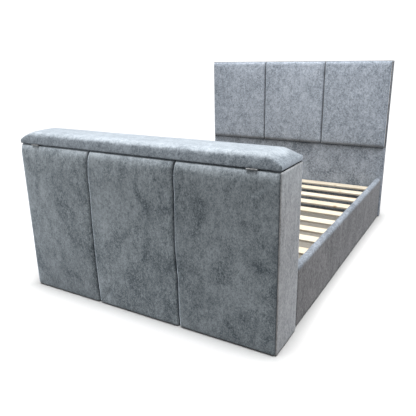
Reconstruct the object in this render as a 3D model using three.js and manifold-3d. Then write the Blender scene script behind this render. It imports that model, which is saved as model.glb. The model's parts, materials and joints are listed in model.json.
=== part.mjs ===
// An upholstered double bed whose tall foot end is a cabinet. A telescopic lift in the cabinet
// raises a television mount, and the padded lid swings out over the foot to let it through.
// Millimetres. +X is across the bed, +Y runs from the foot to the headboard, +Z is up.
import * as THREE from 'three';
import { mergeVertices } from 'three/addons/utils/BufferGeometryUtils.js';
import Module from 'manifold-3d';

const wasm = await Module();
wasm.setup();

// Overall sizes
const bedWidth = 1516;
const bayLength = 1900;
const footDepth = 240;
const footHeight = 834;
const headHeight = 1210;
const railHeight = 320;
const hemLift = 4;

// Fits
const seatGap = 0.3;
const slideGap = 0.5;
const cutOverrun = 4;

// Padded panels, shared by the cabinet's front and the headboard
const footSeamShares = [0.313, 0.658];
const headSeamShares = [1 / 3, 2 / 3];
const seamGap = 1.4;
const padPull = 1.6;
const domeShare = 0.22;
const rollShares = [0, 0.04, 0.16, 0.42, 1];
const middleShares = [0.25, 0.5, 0.75];

// Foot cabinet
const boardThickness = 18;
const sideCoverThickness = 5;
const innerCoverThickness = 6;
const cornerSetback = 6;
const footPadSetback = 7;
const footPadEdge = 20;
const footPadCrown = 19;
const footPadRoll = 52;
const basePanelLift = 12;

// Lid
const lidGap = 5;
const lidBoardThickness = 12;
const lidWrap = 5;
const lidFrontSetback = 1;
const lidEdge = 18;
const lidCrown = 54;
const lidRollAcross = 120;
const lidRollDeep = 62;

// Lid hinges
const hingeLength = 50;
const hingeInset = 128;
const hingePlate = 1.5;
const hingePlateDepth = 42;
const hingeBarrelRadius = 3;
const hingePinRadius = 1.4;
const hingePinClearance = 0.3;
const hingeKnuckleGap = 0.4;
const hingeKnuckleShares = [0, 0.32, 0.68, 1];
const hingeRingSteps = 16;

// Television lift
const liftPlateWidth = 330;
const liftPlateThickness = 6;
const liftPlateMargin = 10;
const columnStandOff = 21;
const columnWidth = 110;
const columnDepth = 56;
const columnWall = 2.5;
const columnCorner = 6;
const columnCornerSteps = 2;
const outerColumnHeight = 508;
const columnStepUp = 29;
const columnStepIn = 10;
const motorWidth = 90;
const motorHeight = 175;
const motorCorner = 10;
const housingCornerSteps = 3;
const motorReveal = 4;
const strapWidth = 190;
const strapHeight = 34;
const strapDrop = 26;

// Television mount
const crossbarWidth = 300;
const crossbarHeight = 34;
const crossbarThickness = 6;
const armSpacing = 200;
const armWidth = 34;
const armDepth = 9;
const armWall = 2.5;
const armRise = 8;
const armHoleRadius = 3.4;
const armHoleSpacing = 100;
const armHoleMargin = 18;
const armHoleSteps = 12;

// Control box
const controlWidth = 190;
const controlHeight = 96;
const controlDepth = 38;
const controlCorner = 9;
const controlOffset = 400;
const controlLevel = 210;
const glandRadius = 7;
const glandTipRadius = 4;
const glandFlange = 3;
const glandLength = 22;
const glandSteps = 16;

// Side rails
const railInset = 7;
const railCoverThickness = 8;
const railBoardThickness = 28;
const railTopPad = 10;
const railCoverInside = 88;
const railTopRadius = 15;
const railRoundSteps = 5;
const railEndGap = 1;

// Slats and what carries them
const slatTop = 245;
const slatThickness = 14;
const slatWidth = 78;
const slatCount = 11;
const slatEndGap = 16;
const slatRound = 3;
const slatRoundSteps = 2;
const slatDriftShares = [0, 0.05, -0.02, -0.03, -0.07, -0.13, -0.1, 0.02, -0.03, 0, 0];
const ledgerWidth = 34;
const ledgerHeight = 42;
const centreRailWidth = 40;
const centreRailHeight = 58;
const legWidth = 44;
const legShares = [1 / 3, 2 / 3];

// Rail corner brackets
const bracketLeg = 58;
const bracketThickness = 3;
const bracketHeight = 104;
const bracketLevel = 62;
const boltRadius = 8;
const boltHeight = 5;
const boltSteps = 12;
const boltShares = [0.26, 0.74];
const boltReachShare = 0.62;

// Headboard
const headLowerPad = 12;
const headLowerCrown = 2;
const headLowerRoll = 14;
const headLowerInset = 1;
const headBoardThickness = 28;
const headCoverThickness = 6;
const headSeamLevel = 563;
const headPadEdge = 20;
const headPadCrown = 15;
const headPadRoll = 44;
const headPadInset = 8;
const headPadTopInset = 3;

// Places that follow from the sizes, with zero along Y at the cabinet's front corner line
const halfWidth = bedWidth / 2;
const sideBoardOuter = halfWidth - sideCoverThickness - seatGap;
const sideBoardInner = sideBoardOuter - boardThickness;
const frontBoardFront = footPadSetback + footPadEdge + seatGap;
const frontBoardBack = frontBoardFront + boardThickness;
const innerCoverFront = footDepth - innerCoverThickness;
const backBoardBack = innerCoverFront - seatGap;
const backBoardFront = backBoardBack - boardThickness;
const basePanelTop = basePanelLift + boardThickness;
const lidBottom = footHeight + lidGap;
const headFace = footDepth + bayLength;
const headBoardFront = headFace + headLowerPad + seatGap;
const headBoardBack = headBoardFront + headBoardThickness;
const bedFront = footPadSetback - footPadCrown;
const bedBack = headBoardBack + seatGap + headCoverThickness;
const railOuter = halfWidth - railInset;
const railBoardOuter = railOuter - railCoverThickness - seatGap;
const railBoardInner = railBoardOuter - railBoardThickness;
const railInner = railBoardInner - seatGap - railCoverThickness;
const railStart = footDepth + railEndGap;
const railEnd = headFace - railEndGap;
const slatBottom = slatTop - slatThickness;
const ledgerTop = slatBottom - seatGap;

// Finishes
const finishes = {
  chenille: { color: 0x8d959e, roughness: 0.92, metalness: 0 },
  ply: { color: 0xb99a6b, roughness: 0.8, metalness: 0 },
  pine: { color: 0xe8d9b8, roughness: 0.65, metalness: 0 },
  blackSteel: { color: 0x24262a, roughness: 0.45, metalness: 0.7 },
  brightSteel: { color: 0xb9bdc2, roughness: 0.3, metalness: 1 },
  zincSteel: { color: 0x9da1a6, roughness: 0.42, metalness: 0.95 },
  blackPlastic: { color: 0x1b1c1f, roughness: 0.55, metalness: 0 },
};

// A named piece with a finish of its own, set at a place
function piece(name, finish, geometry, x = 0, y = 0, z = 0) {
  const mesh = new THREE.Mesh(geometry, new THREE.MeshStandardMaterial(finishes[finish]));
  mesh.name = name;
  mesh.position.set(x, y, z);
  return mesh;
}

// A square-cut board that spans a low and a high value along each axis
function block(name, finish, spanX, spanY, spanZ) {
  const spans = [spanX, spanY, spanZ];
  const sizes = spans.map(([low, high]) => high - low);
  const centres = spans.map(([low, high]) => (low + high) / 2);
  return piece(name, finish, new THREE.BoxGeometry(...sizes), ...centres);
}

// The same spans turned over to the other side of the bed
function mirrored([low, high], side) {
  return side > 0 ? [low, high] : [-high, -low];
}

// A mesh whose shared corners are merged, as a solid for cuts and joins
function toSolid(geometry) {
  const bare = geometry.clone();
  bare.deleteAttribute('normal');
  bare.deleteAttribute('uv');
  const merged = mergeVertices(bare);
  const vertProperties = new Float32Array(merged.attributes.position.array);
  const triVerts = new Uint32Array(merged.index.array);
  return new wasm.Manifold(new wasm.Mesh({ numProp: 3, vertProperties, triVerts }));
}

// A solid back to a mesh
function toGeometry(solid) {
  const mesh = solid.getMesh();
  const geometry = new THREE.BufferGeometry();
  geometry.setAttribute('position', new THREE.BufferAttribute(mesh.vertProperties, mesh.numProp));
  geometry.setIndex(new THREE.BufferAttribute(mesh.triVerts, 1));
  geometry.computeVertexNormals();
  return geometry;
}

// A box between a low and a high value along each axis, for cuts and joins
function boxBetween([lowX, highX], [lowY, highY], [lowZ, highZ]) {
  const geometry = new THREE.BoxGeometry(highX - lowX, highY - lowY, highZ - lowZ);
  return geometry.translate((lowX + highX) / 2, (lowY + highY) / 2, (lowZ + highZ) / 2);
}

// A flat outline drawn as a closed shape
function outline(points) {
  return new THREE.Shape(points.map(([across, up]) => new THREE.Vector2(across, up)));
}

// A rectangle with round corners, centred
function roundedRectangle(width, height, radius) {
  const right = width / 2;
  const top = height / 2;
  const shape = new THREE.Shape();
  shape.moveTo(right, radius - top);
  shape.absarc(right - radius, top - radius, radius, 0, Math.PI / 2);
  shape.absarc(radius - right, top - radius, radius, Math.PI / 2, Math.PI);
  shape.absarc(radius - right, radius - top, radius, Math.PI, 1.5 * Math.PI);
  shape.absarc(right - radius, radius - top, radius, 1.5 * Math.PI, 2 * Math.PI);
  return shape;
}

// An outline in X and Y drawn up along Z from zero
function extrudeUp(shape, height, curveSegments) {
  return new THREE.ExtrudeGeometry(shape, { depth: height, bevelEnabled: false, curveSegments });
}

// An outline in X and Z drawn along Y from zero
function extrudeAlong(shape, length, curveSegments) {
  const geometry = extrudeUp(shape, length, curveSegments);
  return geometry.rotateX(Math.PI / 2).translate(0, length, 0);
}

// An outline in Y and Z drawn across X from zero
function extrudeAcross(shape, length, curveSegments) {
  const geometry = extrudeUp(shape, length, curveSegments);
  return geometry.rotateX(Math.PI / 2).rotateZ(Math.PI / 2);
}

// Grid stations over a length: close together where the edge rolls over, wider in the middle
function stations(length, roll) {
  const reach = Math.min(roll, length / 3);
  const near = rollShares.map((share) => share * reach);
  const middle = middleShares.map((share) => reach + share * (length - 2 * reach));
  const far = near.map((distance) => length - distance).reverse();
  return [...near, ...middle, ...far].map((distance) => distance - length / 2);
}

// How far a padded surface has risen at a distance from its edge: a quarter ellipse
function rise(distance, roll) {
  const share = Math.min(Math.max(distance / roll, 0), 1);
  return Math.sqrt(1 - (1 - share) ** 2);
}

// A stuffed pad: flat back at y = 0, upright edges, and a front that swells towards -Y.
// It is centred on X and Z, and its sides draw in between the corners.
function crownedPad({ width, height, edge, crown, rollAcross, rollUp }) {
  const across = stations(width, rollAcross);
  const up = stations(height, rollUp);
  const positions = [];
  const indices = [];
  const swell = (x, z) => {
    const rolled = rise(width / 2 - Math.abs(x), rollAcross) * rise(height / 2 - Math.abs(z), rollUp);
    const dome = Math.cos((Math.PI * x) / width) * Math.cos((Math.PI * z) / height);
    return edge + crown * rolled * (1 - domeShare + domeShare * dome);
  };
  const point = (x, z, depth) => {
    const shareX = (2 * x) / width;
    const shareZ = (2 * z) / height;
    const drawnX = x - padPull * shareX * (1 - shareZ ** 2);
    const drawnZ = z - padPull * shareZ * (1 - shareX ** 2);
    positions.push(drawnX, -depth, drawnZ);
    return positions.length / 3 - 1;
  };
  const front = up.map((z) => across.map((x) => point(x, z, swell(x, z))));
  const last = across.length - 1;
  const top = up.length - 1;
  const border = [];
  for (let i = 0; i < last; i += 1) border.push([i, 0]);
  for (let k = 0; k < top; k += 1) border.push([last, k]);
  for (let i = last; i > 0; i -= 1) border.push([i, top]);
  for (let k = top; k > 0; k -= 1) border.push([0, k]);
  const back = border.map(([i, k]) => point(across[i], up[k], 0));
  const centre = point(0, 0, 0);
  for (let k = 0; k < top; k += 1) {
    for (let i = 0; i < last; i += 1) {
      const [a, b] = [front[k][i], front[k][i + 1]];
      const [c, d] = [front[k + 1][i + 1], front[k + 1][i]];
      indices.push(a, b, c, a, c, d);
    }
  }
  border.forEach(([i, k], n) => {
    const next = (n + 1) % border.length;
    const [nextI, nextK] = border[next];
    const [a, b] = [front[k][i], front[nextK][nextI]];
    indices.push(a, back[n], back[next], a, back[next], b);
    indices.push(back[n], centre, back[next]);
  });
  const geometry = new THREE.BufferGeometry();
  geometry.setAttribute('position', new THREE.Float32BufferAttribute(positions, 3));
  geometry.setIndex(indices);
  geometry.computeVertexNormals();
  return geometry;
}

// Three pads side by side, parted by the seams, on a face that looks towards -Y
function padRow(prefix, backY, halfSpan, seamShares, [low, high], pad) {
  const seams = seamShares.map((share) => share * bedWidth - halfWidth);
  const edges = [-halfSpan, ...seams, halfSpan];
  return ['left', 'middle', 'right'].map((side, n) => {
    const from = edges[n] + (n > 0 ? seamGap / 2 : 0);
    const to = edges[n + 1] - (n < seamShares.length ? seamGap / 2 : 0);
    const geometry = crownedPad({ ...pad, width: to - from, height: high - low });
    return piece(`${prefix}_${side}`, 'chenille', geometry, (from + to) / 2, backY, (low + high) / 2);
  });
}

// The foot cabinet: five boards that stand on the floor, and the padding round them
function footCabinet() {
  const group = new THREE.Group();
  const between = [seatGap - sideBoardInner, sideBoardInner - seatGap];
  const floorToTop = [0, footHeight];
  const hemToTop = [hemLift, footHeight];
  const inside = [frontBoardBack + seatGap, backBoardFront - seatGap];
  group.add(block('cabinet_front_board', 'ply', between, [frontBoardFront, frontBoardBack], floorToTop));
  group.add(block('cabinet_back_board', 'ply', between, [backBoardFront, backBoardBack], floorToTop));
  group.add(block('cabinet_base_board', 'ply', between, inside, [basePanelLift, basePanelTop]));
  for (const [side, sign] of [['left', -1], ['right', 1]]) {
    const boardX = mirrored([sideBoardInner, sideBoardOuter], sign);
    const coverX = mirrored([sideBoardOuter + seatGap, halfWidth], sign);
    const boardY = [frontBoardFront, backBoardBack];
    group.add(block(`cabinet_side_board_${side}`, 'ply', boardX, boardY, floorToTop));
    group.add(block(`cabinet_side_cover_${side}`, 'chenille', coverX, [cornerSetback, footDepth], hemToTop));
  }
  const innerX = [-sideBoardOuter, sideBoardOuter];
  group.add(block('cabinet_inner_cover', 'chenille', innerX, [innerCoverFront, footDepth], hemToTop));
  const pad = {
    edge: footPadEdge, crown: footPadCrown, rollAcross: footPadRoll, rollUp: footPadRoll,
  };
  const padBack = frontBoardFront - seatGap;
  group.add(...padRow('foot_pad', padBack, sideBoardOuter, footSeamShares, hemToTop, pad));
  return group;
}

// The lid: a board, and the crowned pad that wraps down over its edges
function lid() {
  const group = new THREE.Group();
  const depth = footDepth - lidFrontSetback;
  const centreY = (footDepth + lidFrontSetback) / 2;
  const boardX = [lidWrap + seatGap - halfWidth, halfWidth - lidWrap - seatGap];
  const boardY = [lidFrontSetback + lidWrap + seatGap, footDepth - lidWrap - seatGap];
  group.add(block('lid_board', 'ply', boardX, boardY, [lidBottom, lidBottom + lidBoardThickness]));
  const crowned = crownedPad({
    width: bedWidth, height: depth, edge: lidEdge, crown: lidCrown,
    rollAcross: lidRollAcross, rollUp: lidRollDeep,
  });
  crowned.rotateX(-Math.PI / 2).translate(0, centreY, lidBottom);
  const recess = boxBetween(
    [lidWrap - halfWidth, halfWidth - lidWrap],
    [lidFrontSetback + lidWrap, footDepth - lidWrap],
    [lidBottom - cutOverrun, lidBottom + lidBoardThickness + seatGap],
  );
  const pad = toGeometry(toSolid(crowned).subtract(toSolid(recess)));
  group.add(piece('lid_pad', 'chenille', pad));
  return group;
}

// A ring for one hinge knuckle, drawn across X round the pin's line
function knuckle(from, to) {
  const ring = new THREE.Shape();
  ring.absarc(0, 0, hingeBarrelRadius, 0, 2 * Math.PI);
  const bore = new THREE.Path();
  bore.absarc(0, 0, hingePinRadius + hingePinClearance, 0, 2 * Math.PI, true);
  ring.holes.push(bore);
  return extrudeAcross(ring, to - from, hingeRingSteps).translate(from, 0, 0);
}

// One leaf of a butt hinge: its plate, and the knuckles that it carries round the pin.
// The pin's line is the local X axis, and side is -1 for the lower leaf and 1 for the upper one.
function hingeLeaf(side, knuckles) {
  const nearest = lidGap / 2 - seatGap - hingePlate;
  const plateZ = mirrored([nearest, nearest + hingePlate], side);
  const plateStart = hingeBarrelRadius + slideGap;
  const plateX = [-hingeLength / 2, hingeLength / 2];
  let leaf = toSolid(boxBetween(plateX, [plateStart, plateStart + hingePlateDepth], plateZ));
  for (const [from, to] of knuckles) {
    const neckFrom = hingePinRadius + hingePinClearance + hingePlate / 2;
    const neck = boxBetween([from, to], [neckFrom, plateStart + hingePlate], plateZ);
    leaf = leaf.add(toSolid(knuckle(from, to))).add(toSolid(neck));
  }
  return toGeometry(leaf);
}

// Two butt hinges in the gap under the lid, on its outer long edge
function lidHinges() {
  const group = new THREE.Group();
  const pinY = lidFrontSetback - slideGap - hingeBarrelRadius;
  const pinZ = footHeight + lidGap / 2;
  const marks = hingeKnuckleShares.map((share) => (share - 0.5) * hingeLength);
  const spans = marks.slice(1).map((to, n) => [
    marks[n] + (n > 0 ? hingeKnuckleGap / 2 : 0),
    to - (n < marks.length - 2 ? hingeKnuckleGap / 2 : 0),
  ]);
  for (const [side, sign] of [['left', -1], ['right', 1]]) {
    const x = sign * (halfWidth - hingeInset);
    const lower = hingeLeaf(-1, [spans[0], spans[2]]);
    const upper = hingeLeaf(1, [spans[1]]);
    const pinShape = new THREE.Shape();
    pinShape.absarc(0, 0, hingePinRadius, 0, 2 * Math.PI);
    const pin = extrudeAcross(pinShape, hingeLength, hingeRingSteps).translate(-hingeLength / 2, 0, 0);
    group.add(piece(`hinge_${side}_body_leaf`, 'brightSteel', lower, x, pinY, pinZ));
    group.add(piece(`hinge_${side}_lid_leaf`, 'brightSteel', upper, x, pinY, pinZ));
    group.add(piece(`hinge_${side}_pin`, 'brightSteel', pin, x, pinY, pinZ));
  }
  return group;
}

// One square tube of the telescopic column, open at both ends
function columnTube(step, height) {
  const inset = 2 * step * (columnWall + slideGap);
  const width = columnWidth - inset;
  const depth = columnDepth - inset;
  const corner = columnCorner - step * columnWall / 2;
  const tube = roundedRectangle(width, depth, corner);
  const bore = roundedRectangle(width - 2 * columnWall, depth - 2 * columnWall, corner - columnWall / 2);
  tube.holes.push(new THREE.Path(bore.getPoints(columnCornerSteps).reverse()));
  return extrudeUp(tube, height, columnCornerSteps);
}

// The television lift: base plate, drive, three nested columns, and the strap to the front board
function televisionLift() {
  const group = new THREE.Group();
  const columnY = frontBoardBack + columnStandOff + columnDepth / 2;
  const plateBottom = basePanelTop + seatGap;
  const plateTop = plateBottom + liftPlateThickness;
  const plateX = [-liftPlateWidth / 2, liftPlateWidth / 2];
  const plateReach = columnDepth / 2 + liftPlateMargin;
  const plateY = [columnY - plateReach, columnY + plateReach];
  const columnBottom = plateTop + seatGap;
  group.add(block('lift_base_plate', 'blackSteel', plateX, plateY, [plateBottom, plateTop]));
  ['outer', 'middle', 'inner'].forEach((name, step) => {
    const height = outerColumnHeight + step * (columnStepUp - columnStepIn);
    const bottom = columnBottom + step * columnStepIn;
    group.add(piece(`lift_${name}_column`, 'zincSteel', columnTube(step, height), 0, columnY, bottom));
  });
  const motorShape = roundedRectangle(motorWidth, columnDepth - motorReveal, motorCorner);
  const motorX = columnWidth / 2 + seatGap + motorWidth / 2;
  const motor = extrudeUp(motorShape, motorHeight, housingCornerSteps);
  group.add(piece('lift_motor_housing', 'blackPlastic', motor, motorX, columnY, columnBottom));
  const strapTop = columnBottom + outerColumnHeight - strapDrop;
  const strapY = [frontBoardBack + seatGap, frontBoardBack + columnStandOff - seatGap];
  const strapX = [-strapWidth / 2, strapWidth / 2];
  group.add(block('lift_wall_strap', 'blackSteel', strapX, strapY, [strapTop - strapHeight, strapTop]));
  group.add(televisionMount(columnY, columnBottom));
  return group;
}

// The mount on the inner column: a crossbar and two channel arms with holes for the screen's bolts
function televisionMount(columnY, columnBottom) {
  const group = new THREE.Group();
  const innerInset = 2 * (columnWall + slideGap);
  const innerBack = columnY + columnDepth / 2 - innerInset;
  const innerTop = columnBottom + outerColumnHeight + 2 * columnStepUp;
  const middleTop = innerTop - columnStepUp;
  const barY = [innerBack + seatGap, innerBack + seatGap + crossbarThickness + innerInset];
  const barZ = [innerTop - crossbarHeight, innerTop];
  const lowestBar = Math.max(barZ[0], middleTop + slideGap);
  const barX = [-crossbarWidth / 2, crossbarWidth / 2];
  group.add(block('tv_mount_crossbar', 'blackSteel', barX, barY, [lowestBar, innerTop]));
  const armFront = barY[1] + seatGap;
  const armHeight = 2 * (armHoleSpacing + armHoleMargin);
  const armBottom = innerTop + armRise - armHeight;
  const half = armWidth / 2;
  const channel = outline([
    [-half, armDepth], [-half, 0], [armWall - half, 0], [armWall - half, armDepth - armWall],
    [half - armWall, armDepth - armWall], [half - armWall, 0], [half, 0], [half, armDepth],
  ]);
  for (const [side, sign] of [['left', -1], ['right', 1]]) {
    let arm = toSolid(extrudeUp(channel, armHeight, 1));
    for (const place of [-1, 0, 1]) {
      const hole = new THREE.CylinderGeometry(
        armHoleRadius, armHoleRadius, armWall + 2 * cutOverrun, armHoleSteps,
      );
      arm = arm.subtract(toSolid(hole.translate(0, armDepth, armHeight / 2 + place * armHoleSpacing)));
    }
    const x = sign * armSpacing / 2;
    group.add(piece(`tv_mount_arm_${side}`, 'blackSteel', toGeometry(arm), x, armFront, armBottom));
  }
  return group;
}

// The control box on the front board's inner face, with the gland that its mains lead leaves by
function controls() {
  const group = new THREE.Group();
  const shape = roundedRectangle(controlWidth, controlHeight, controlCorner);
  const box = extrudeAlong(shape, controlDepth, housingCornerSteps);
  const boxY = frontBoardBack + seatGap;
  const boxZ = controlLevel + controlHeight / 2;
  group.add(piece('control_box', 'blackPlastic', box, controlOffset, boxY, boxZ));
  const profile = [
    [0, 0], [glandTipRadius, 0], [glandRadius, glandLength - 2 * glandFlange],
    [glandRadius, glandLength - glandFlange], [glandRadius + glandFlange, glandLength - glandFlange],
    [glandRadius + glandFlange, glandLength], [0, glandLength],
  ];
  const gland = new THREE.LatheGeometry(
    profile.map(([radius, height]) => new THREE.Vector2(radius, height)), glandSteps,
  );
  gland.rotateX(Math.PI / 2);
  const glandY = boxY + controlDepth / 2;
  const glandZ = controlLevel - seatGap - glandLength;
  group.add(piece('mains_lead_gland', 'blackPlastic', gland, controlOffset, glandY, glandZ));
  return group;
}

// The padded cover of a side rail: a hood over the board, open below, longer on the outside
function railCoverShape() {
  const outer = railOuter - railInner;
  const height = railHeight - hemLift;
  const boardTop = height - railTopPad;
  const shape = new THREE.Shape();
  shape.moveTo(outer, 0);
  shape.lineTo(outer, height - railTopRadius);
  shape.absarc(outer - railTopRadius, height - railTopRadius, railTopRadius, 0, Math.PI / 2);
  shape.absarc(railTopRadius, height - railTopRadius, railTopRadius, Math.PI / 2, Math.PI);
  shape.lineTo(0, height - railCoverInside);
  shape.lineTo(railCoverThickness, height - railCoverInside);
  shape.lineTo(railCoverThickness, boardTop);
  shape.lineTo(outer - railCoverThickness, boardTop);
  shape.lineTo(outer - railCoverThickness, 0);
  return shape;
}

// An angle bracket that bolts a rail to the cabinet or the headboard.
// One leg lies along Y on the rail, the other along X, and both bolt heads face the bay.
function cornerBracket() {
  const height = [0, bracketHeight];
  let solid = toSolid(boxBetween([-bracketThickness, 0], [0, bracketLeg], height));
  solid = solid.add(toSolid(boxBetween([-bracketLeg, 0], [0, bracketThickness], height)));
  for (const share of boltShares) {
    const z = share * bracketHeight;
    const reach = boltReachShare * bracketLeg;
    const along = bracketThickness / 2;
    const head = () => new THREE.CylinderGeometry(boltRadius, boltRadius, boltHeight + along, boltSteps);
    const onEnd = head().translate(-reach, (boltHeight + along) / 2 + along, z);
    const onRail = head().rotateZ(Math.PI / 2).translate(-(boltHeight + along) / 2 - along, reach, z);
    solid = solid.add(toSolid(onEnd)).add(toSolid(onRail));
  }
  return toGeometry(solid);
}

// Where the corner brackets go: bed end, side, side's sign, and quarter turns from the right foot
const bracketCorners = [
  ['foot', 'right', 1, 0], ['foot', 'left', -1, -1], ['head', 'right', 1, 1], ['head', 'left', -1, 2],
];

// Both side rails, with their covers, slat ledgers and corner brackets
function sideRails() {
  const group = new THREE.Group();
  const span = [railStart, railEnd];
  const length = railEnd - railStart;
  for (const [side, sign] of [['left', -1], ['right', 1]]) {
    const boardX = mirrored([railBoardInner, railBoardOuter], sign);
    const boardTop = railHeight - railTopPad - seatGap;
    group.add(block(`side_rail_board_${side}`, 'ply', boardX, span, [hemLift, boardTop]));
    const cover = extrudeAlong(railCoverShape(), length, railRoundSteps);
    if (sign < 0) cover.rotateZ(Math.PI);
    const coverY = sign < 0 ? railEnd : railStart;
    group.add(piece(`side_rail_cover_${side}`, 'chenille', cover, sign * railInner, coverY, hemLift));
    const ledgerX = mirrored([railBoardInner - seatGap - ledgerWidth, railBoardInner - seatGap], sign);
    group.add(block(`slat_ledger_${side}`, 'pine', ledgerX, span, [ledgerTop - ledgerHeight, ledgerTop]));
  }
  for (const [end, side, sign, quarterTurns] of bracketCorners) {
    const bracket = cornerBracket().rotateZ(quarterTurns * Math.PI / 2);
    const x = sign * (railBoardInner - seatGap);
    const y = end === 'foot' ? footDepth + seatGap : headFace - seatGap;
    group.add(piece(`rail_bracket_${end}_${side}`, 'zincSteel', bracket, x, y, bracketLevel));
  }
  return group;
}

// The slats, laid by eye at nearly even steps, and the centre rail and legs under them
function slatBase() {
  const group = new THREE.Group();
  const slatLength = 2 * (railInner - seatGap);
  const pitch = (bayLength - 2 * slatEndGap - slatWidth) / (slatCount - 1);
  const section = roundedRectangle(slatWidth, slatThickness, slatRound);
  for (let n = 0; n < slatCount; n += 1) {
    const drift = slatDriftShares[n % slatDriftShares.length] * pitch;
    const y = headFace - slatEndGap - slatWidth / 2 - n * pitch + drift;
    const slat = extrudeAcross(section, slatLength, slatRoundSteps).translate(-slatLength / 2, 0, 0);
    const name = `slat_${String(n + 1).padStart(2, '0')}`;
    group.add(piece(name, 'pine', slat, 0, y, slatBottom + slatThickness / 2));
  }
  const railX = [-centreRailWidth / 2, centreRailWidth / 2];
  const railY = [footDepth + seatGap, headFace - seatGap];
  const railBottom = ledgerTop - centreRailHeight;
  group.add(block('centre_rail', 'pine', railX, railY, [railBottom, ledgerTop]));
  legShares.forEach((share, n) => {
    const y = footDepth + share * bayLength;
    const legX = [-legWidth / 2, legWidth / 2];
    const legY = [y - legWidth / 2, y + legWidth / 2];
    group.add(block(`centre_leg_${n + 1}`, 'pine', legX, legY, [0, railBottom - seatGap]));
  });
  return group;
}

// The headboard: a board that stands on the floor, a cloth cover over its edges and back,
// a flat padded panel below, and three crowned pads above
function headboard() {
  const group = new THREE.Group();
  const boardHalf = halfWidth - headCoverThickness - seatGap;
  const boardTop = headHeight - headCoverThickness - seatGap;
  const boardY = [headBoardFront, headBoardBack];
  group.add(block('headboard_board', 'ply', [-boardHalf, boardHalf], boardY, [0, boardTop]));
  const around = boxBetween([-halfWidth, halfWidth], [headBoardFront, bedBack], [hemLift, headHeight]);
  const room = boxBetween(
    [-boardHalf - seatGap, boardHalf + seatGap],
    [headBoardFront - cutOverrun, headBoardBack + seatGap],
    [hemLift - cutOverrun, boardTop + seatGap],
  );
  group.add(piece('headboard_cover', 'chenille', toGeometry(toSolid(around).subtract(toSolid(room)))));
  const padBack = headBoardFront - seatGap;
  const lowerTop = headSeamLevel - seamGap / 2;
  const lower = crownedPad({
    width: bedWidth - 2 * headLowerInset, height: lowerTop - hemLift, edge: headLowerPad - headLowerCrown,
    crown: headLowerCrown, rollAcross: headLowerRoll, rollUp: headLowerRoll,
  });
  group.add(piece('headboard_lower_pad', 'chenille', lower, 0, padBack, (lowerTop + hemLift) / 2));
  const pad = {
    edge: headPadEdge, crown: headPadCrown, rollAcross: headPadRoll, rollUp: headPadRoll,
  };
  const padZ = [headSeamLevel + seamGap / 2, headHeight - headPadTopInset];
  const padSpan = halfWidth - headPadInset;
  group.add(...padRow('headboard_pad', padBack, padSpan, headSeamShares, padZ, pad));
  return group;
}

// The whole bed, moved so that the origin is under the middle of its outside
const assembly = new THREE.Group();
assembly.position.y = -(bedFront + bedBack) / 2;
assembly.add(footCabinet(), lid(), lidHinges(), televisionLift(), controls());
assembly.add(sideRails(), slatBase(), headboard());
const bed = new THREE.Group();
bed.add(assembly);

export default bed;
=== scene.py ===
# %% [markdown]
# # A television bed, dressed for its picture
# The bed comes from the workshop as a packed frame: every board, slat, column and hinge is already
# in its place, in metres. This lesson keeps the hard parts and gives them real finishes, and it
# makes each upholstered part again, because foam under cloth is what people see of such a bed.

# %% Load the packed frame
import json
import math
from types import SimpleNamespace

import bmesh
import bpy
from mathutils import Euler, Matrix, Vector, noise


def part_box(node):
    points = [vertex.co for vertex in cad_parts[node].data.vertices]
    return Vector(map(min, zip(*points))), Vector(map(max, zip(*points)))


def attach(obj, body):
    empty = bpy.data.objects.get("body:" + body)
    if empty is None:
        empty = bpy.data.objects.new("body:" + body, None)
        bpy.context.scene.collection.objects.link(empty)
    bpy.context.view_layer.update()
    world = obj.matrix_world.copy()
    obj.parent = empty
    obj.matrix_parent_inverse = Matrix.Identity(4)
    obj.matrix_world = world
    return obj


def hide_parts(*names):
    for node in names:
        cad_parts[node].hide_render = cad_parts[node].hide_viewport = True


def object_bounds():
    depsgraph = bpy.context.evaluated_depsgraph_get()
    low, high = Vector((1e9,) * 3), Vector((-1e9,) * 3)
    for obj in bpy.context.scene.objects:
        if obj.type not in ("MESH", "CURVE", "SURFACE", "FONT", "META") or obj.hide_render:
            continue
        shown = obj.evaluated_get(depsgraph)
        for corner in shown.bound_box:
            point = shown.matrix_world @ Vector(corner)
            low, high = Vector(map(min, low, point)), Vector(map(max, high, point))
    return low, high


MM = 0.001
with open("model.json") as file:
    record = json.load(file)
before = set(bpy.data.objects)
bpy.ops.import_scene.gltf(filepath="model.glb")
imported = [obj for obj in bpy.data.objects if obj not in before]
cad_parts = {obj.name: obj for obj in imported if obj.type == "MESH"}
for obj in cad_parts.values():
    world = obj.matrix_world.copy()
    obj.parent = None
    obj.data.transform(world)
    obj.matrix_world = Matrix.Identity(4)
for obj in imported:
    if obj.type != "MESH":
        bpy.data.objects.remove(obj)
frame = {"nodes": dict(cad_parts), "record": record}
cad_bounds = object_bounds()
nodes = frame["nodes"]
print("nodes:", len(nodes), "box:", [tuple(round(v, 4) for v in corner) for corner in cad_bounds])

# %% [markdown]
# ## Camera
# The picture was taken by a standing person at the right front corner, a little above the lid.
# The place, the turn and the lens come from a fit of the bed's corners, so they are typed in as
# numbers. An aim constraint would also do, but it can't hold the small tilt of a hand-held shot.

# %% Place the camera
CAMERA_PLACE = (1.42017, -2.77556, 1.27680)
CAMERA_TURN_DEGREES = (72.0666, 0.9864, 30.2700)
CAMERA_LENS = 41.103
SENSOR_WIDTH = 36

camera_data = bpy.data.cameras.new("photo_camera")
camera_data.lens = CAMERA_LENS
camera_data.sensor_width = SENSOR_WIDTH
camera = bpy.data.objects.new("photo_camera", camera_data)
camera.location = CAMERA_PLACE
camera.rotation_euler = Euler([math.radians(turn) for turn in CAMERA_TURN_DEGREES])
bpy.context.scene.collection.objects.link(camera)
bpy.context.scene.camera = camera
print("camera at", CAMERA_PLACE, "lens", CAMERA_LENS)

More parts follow.
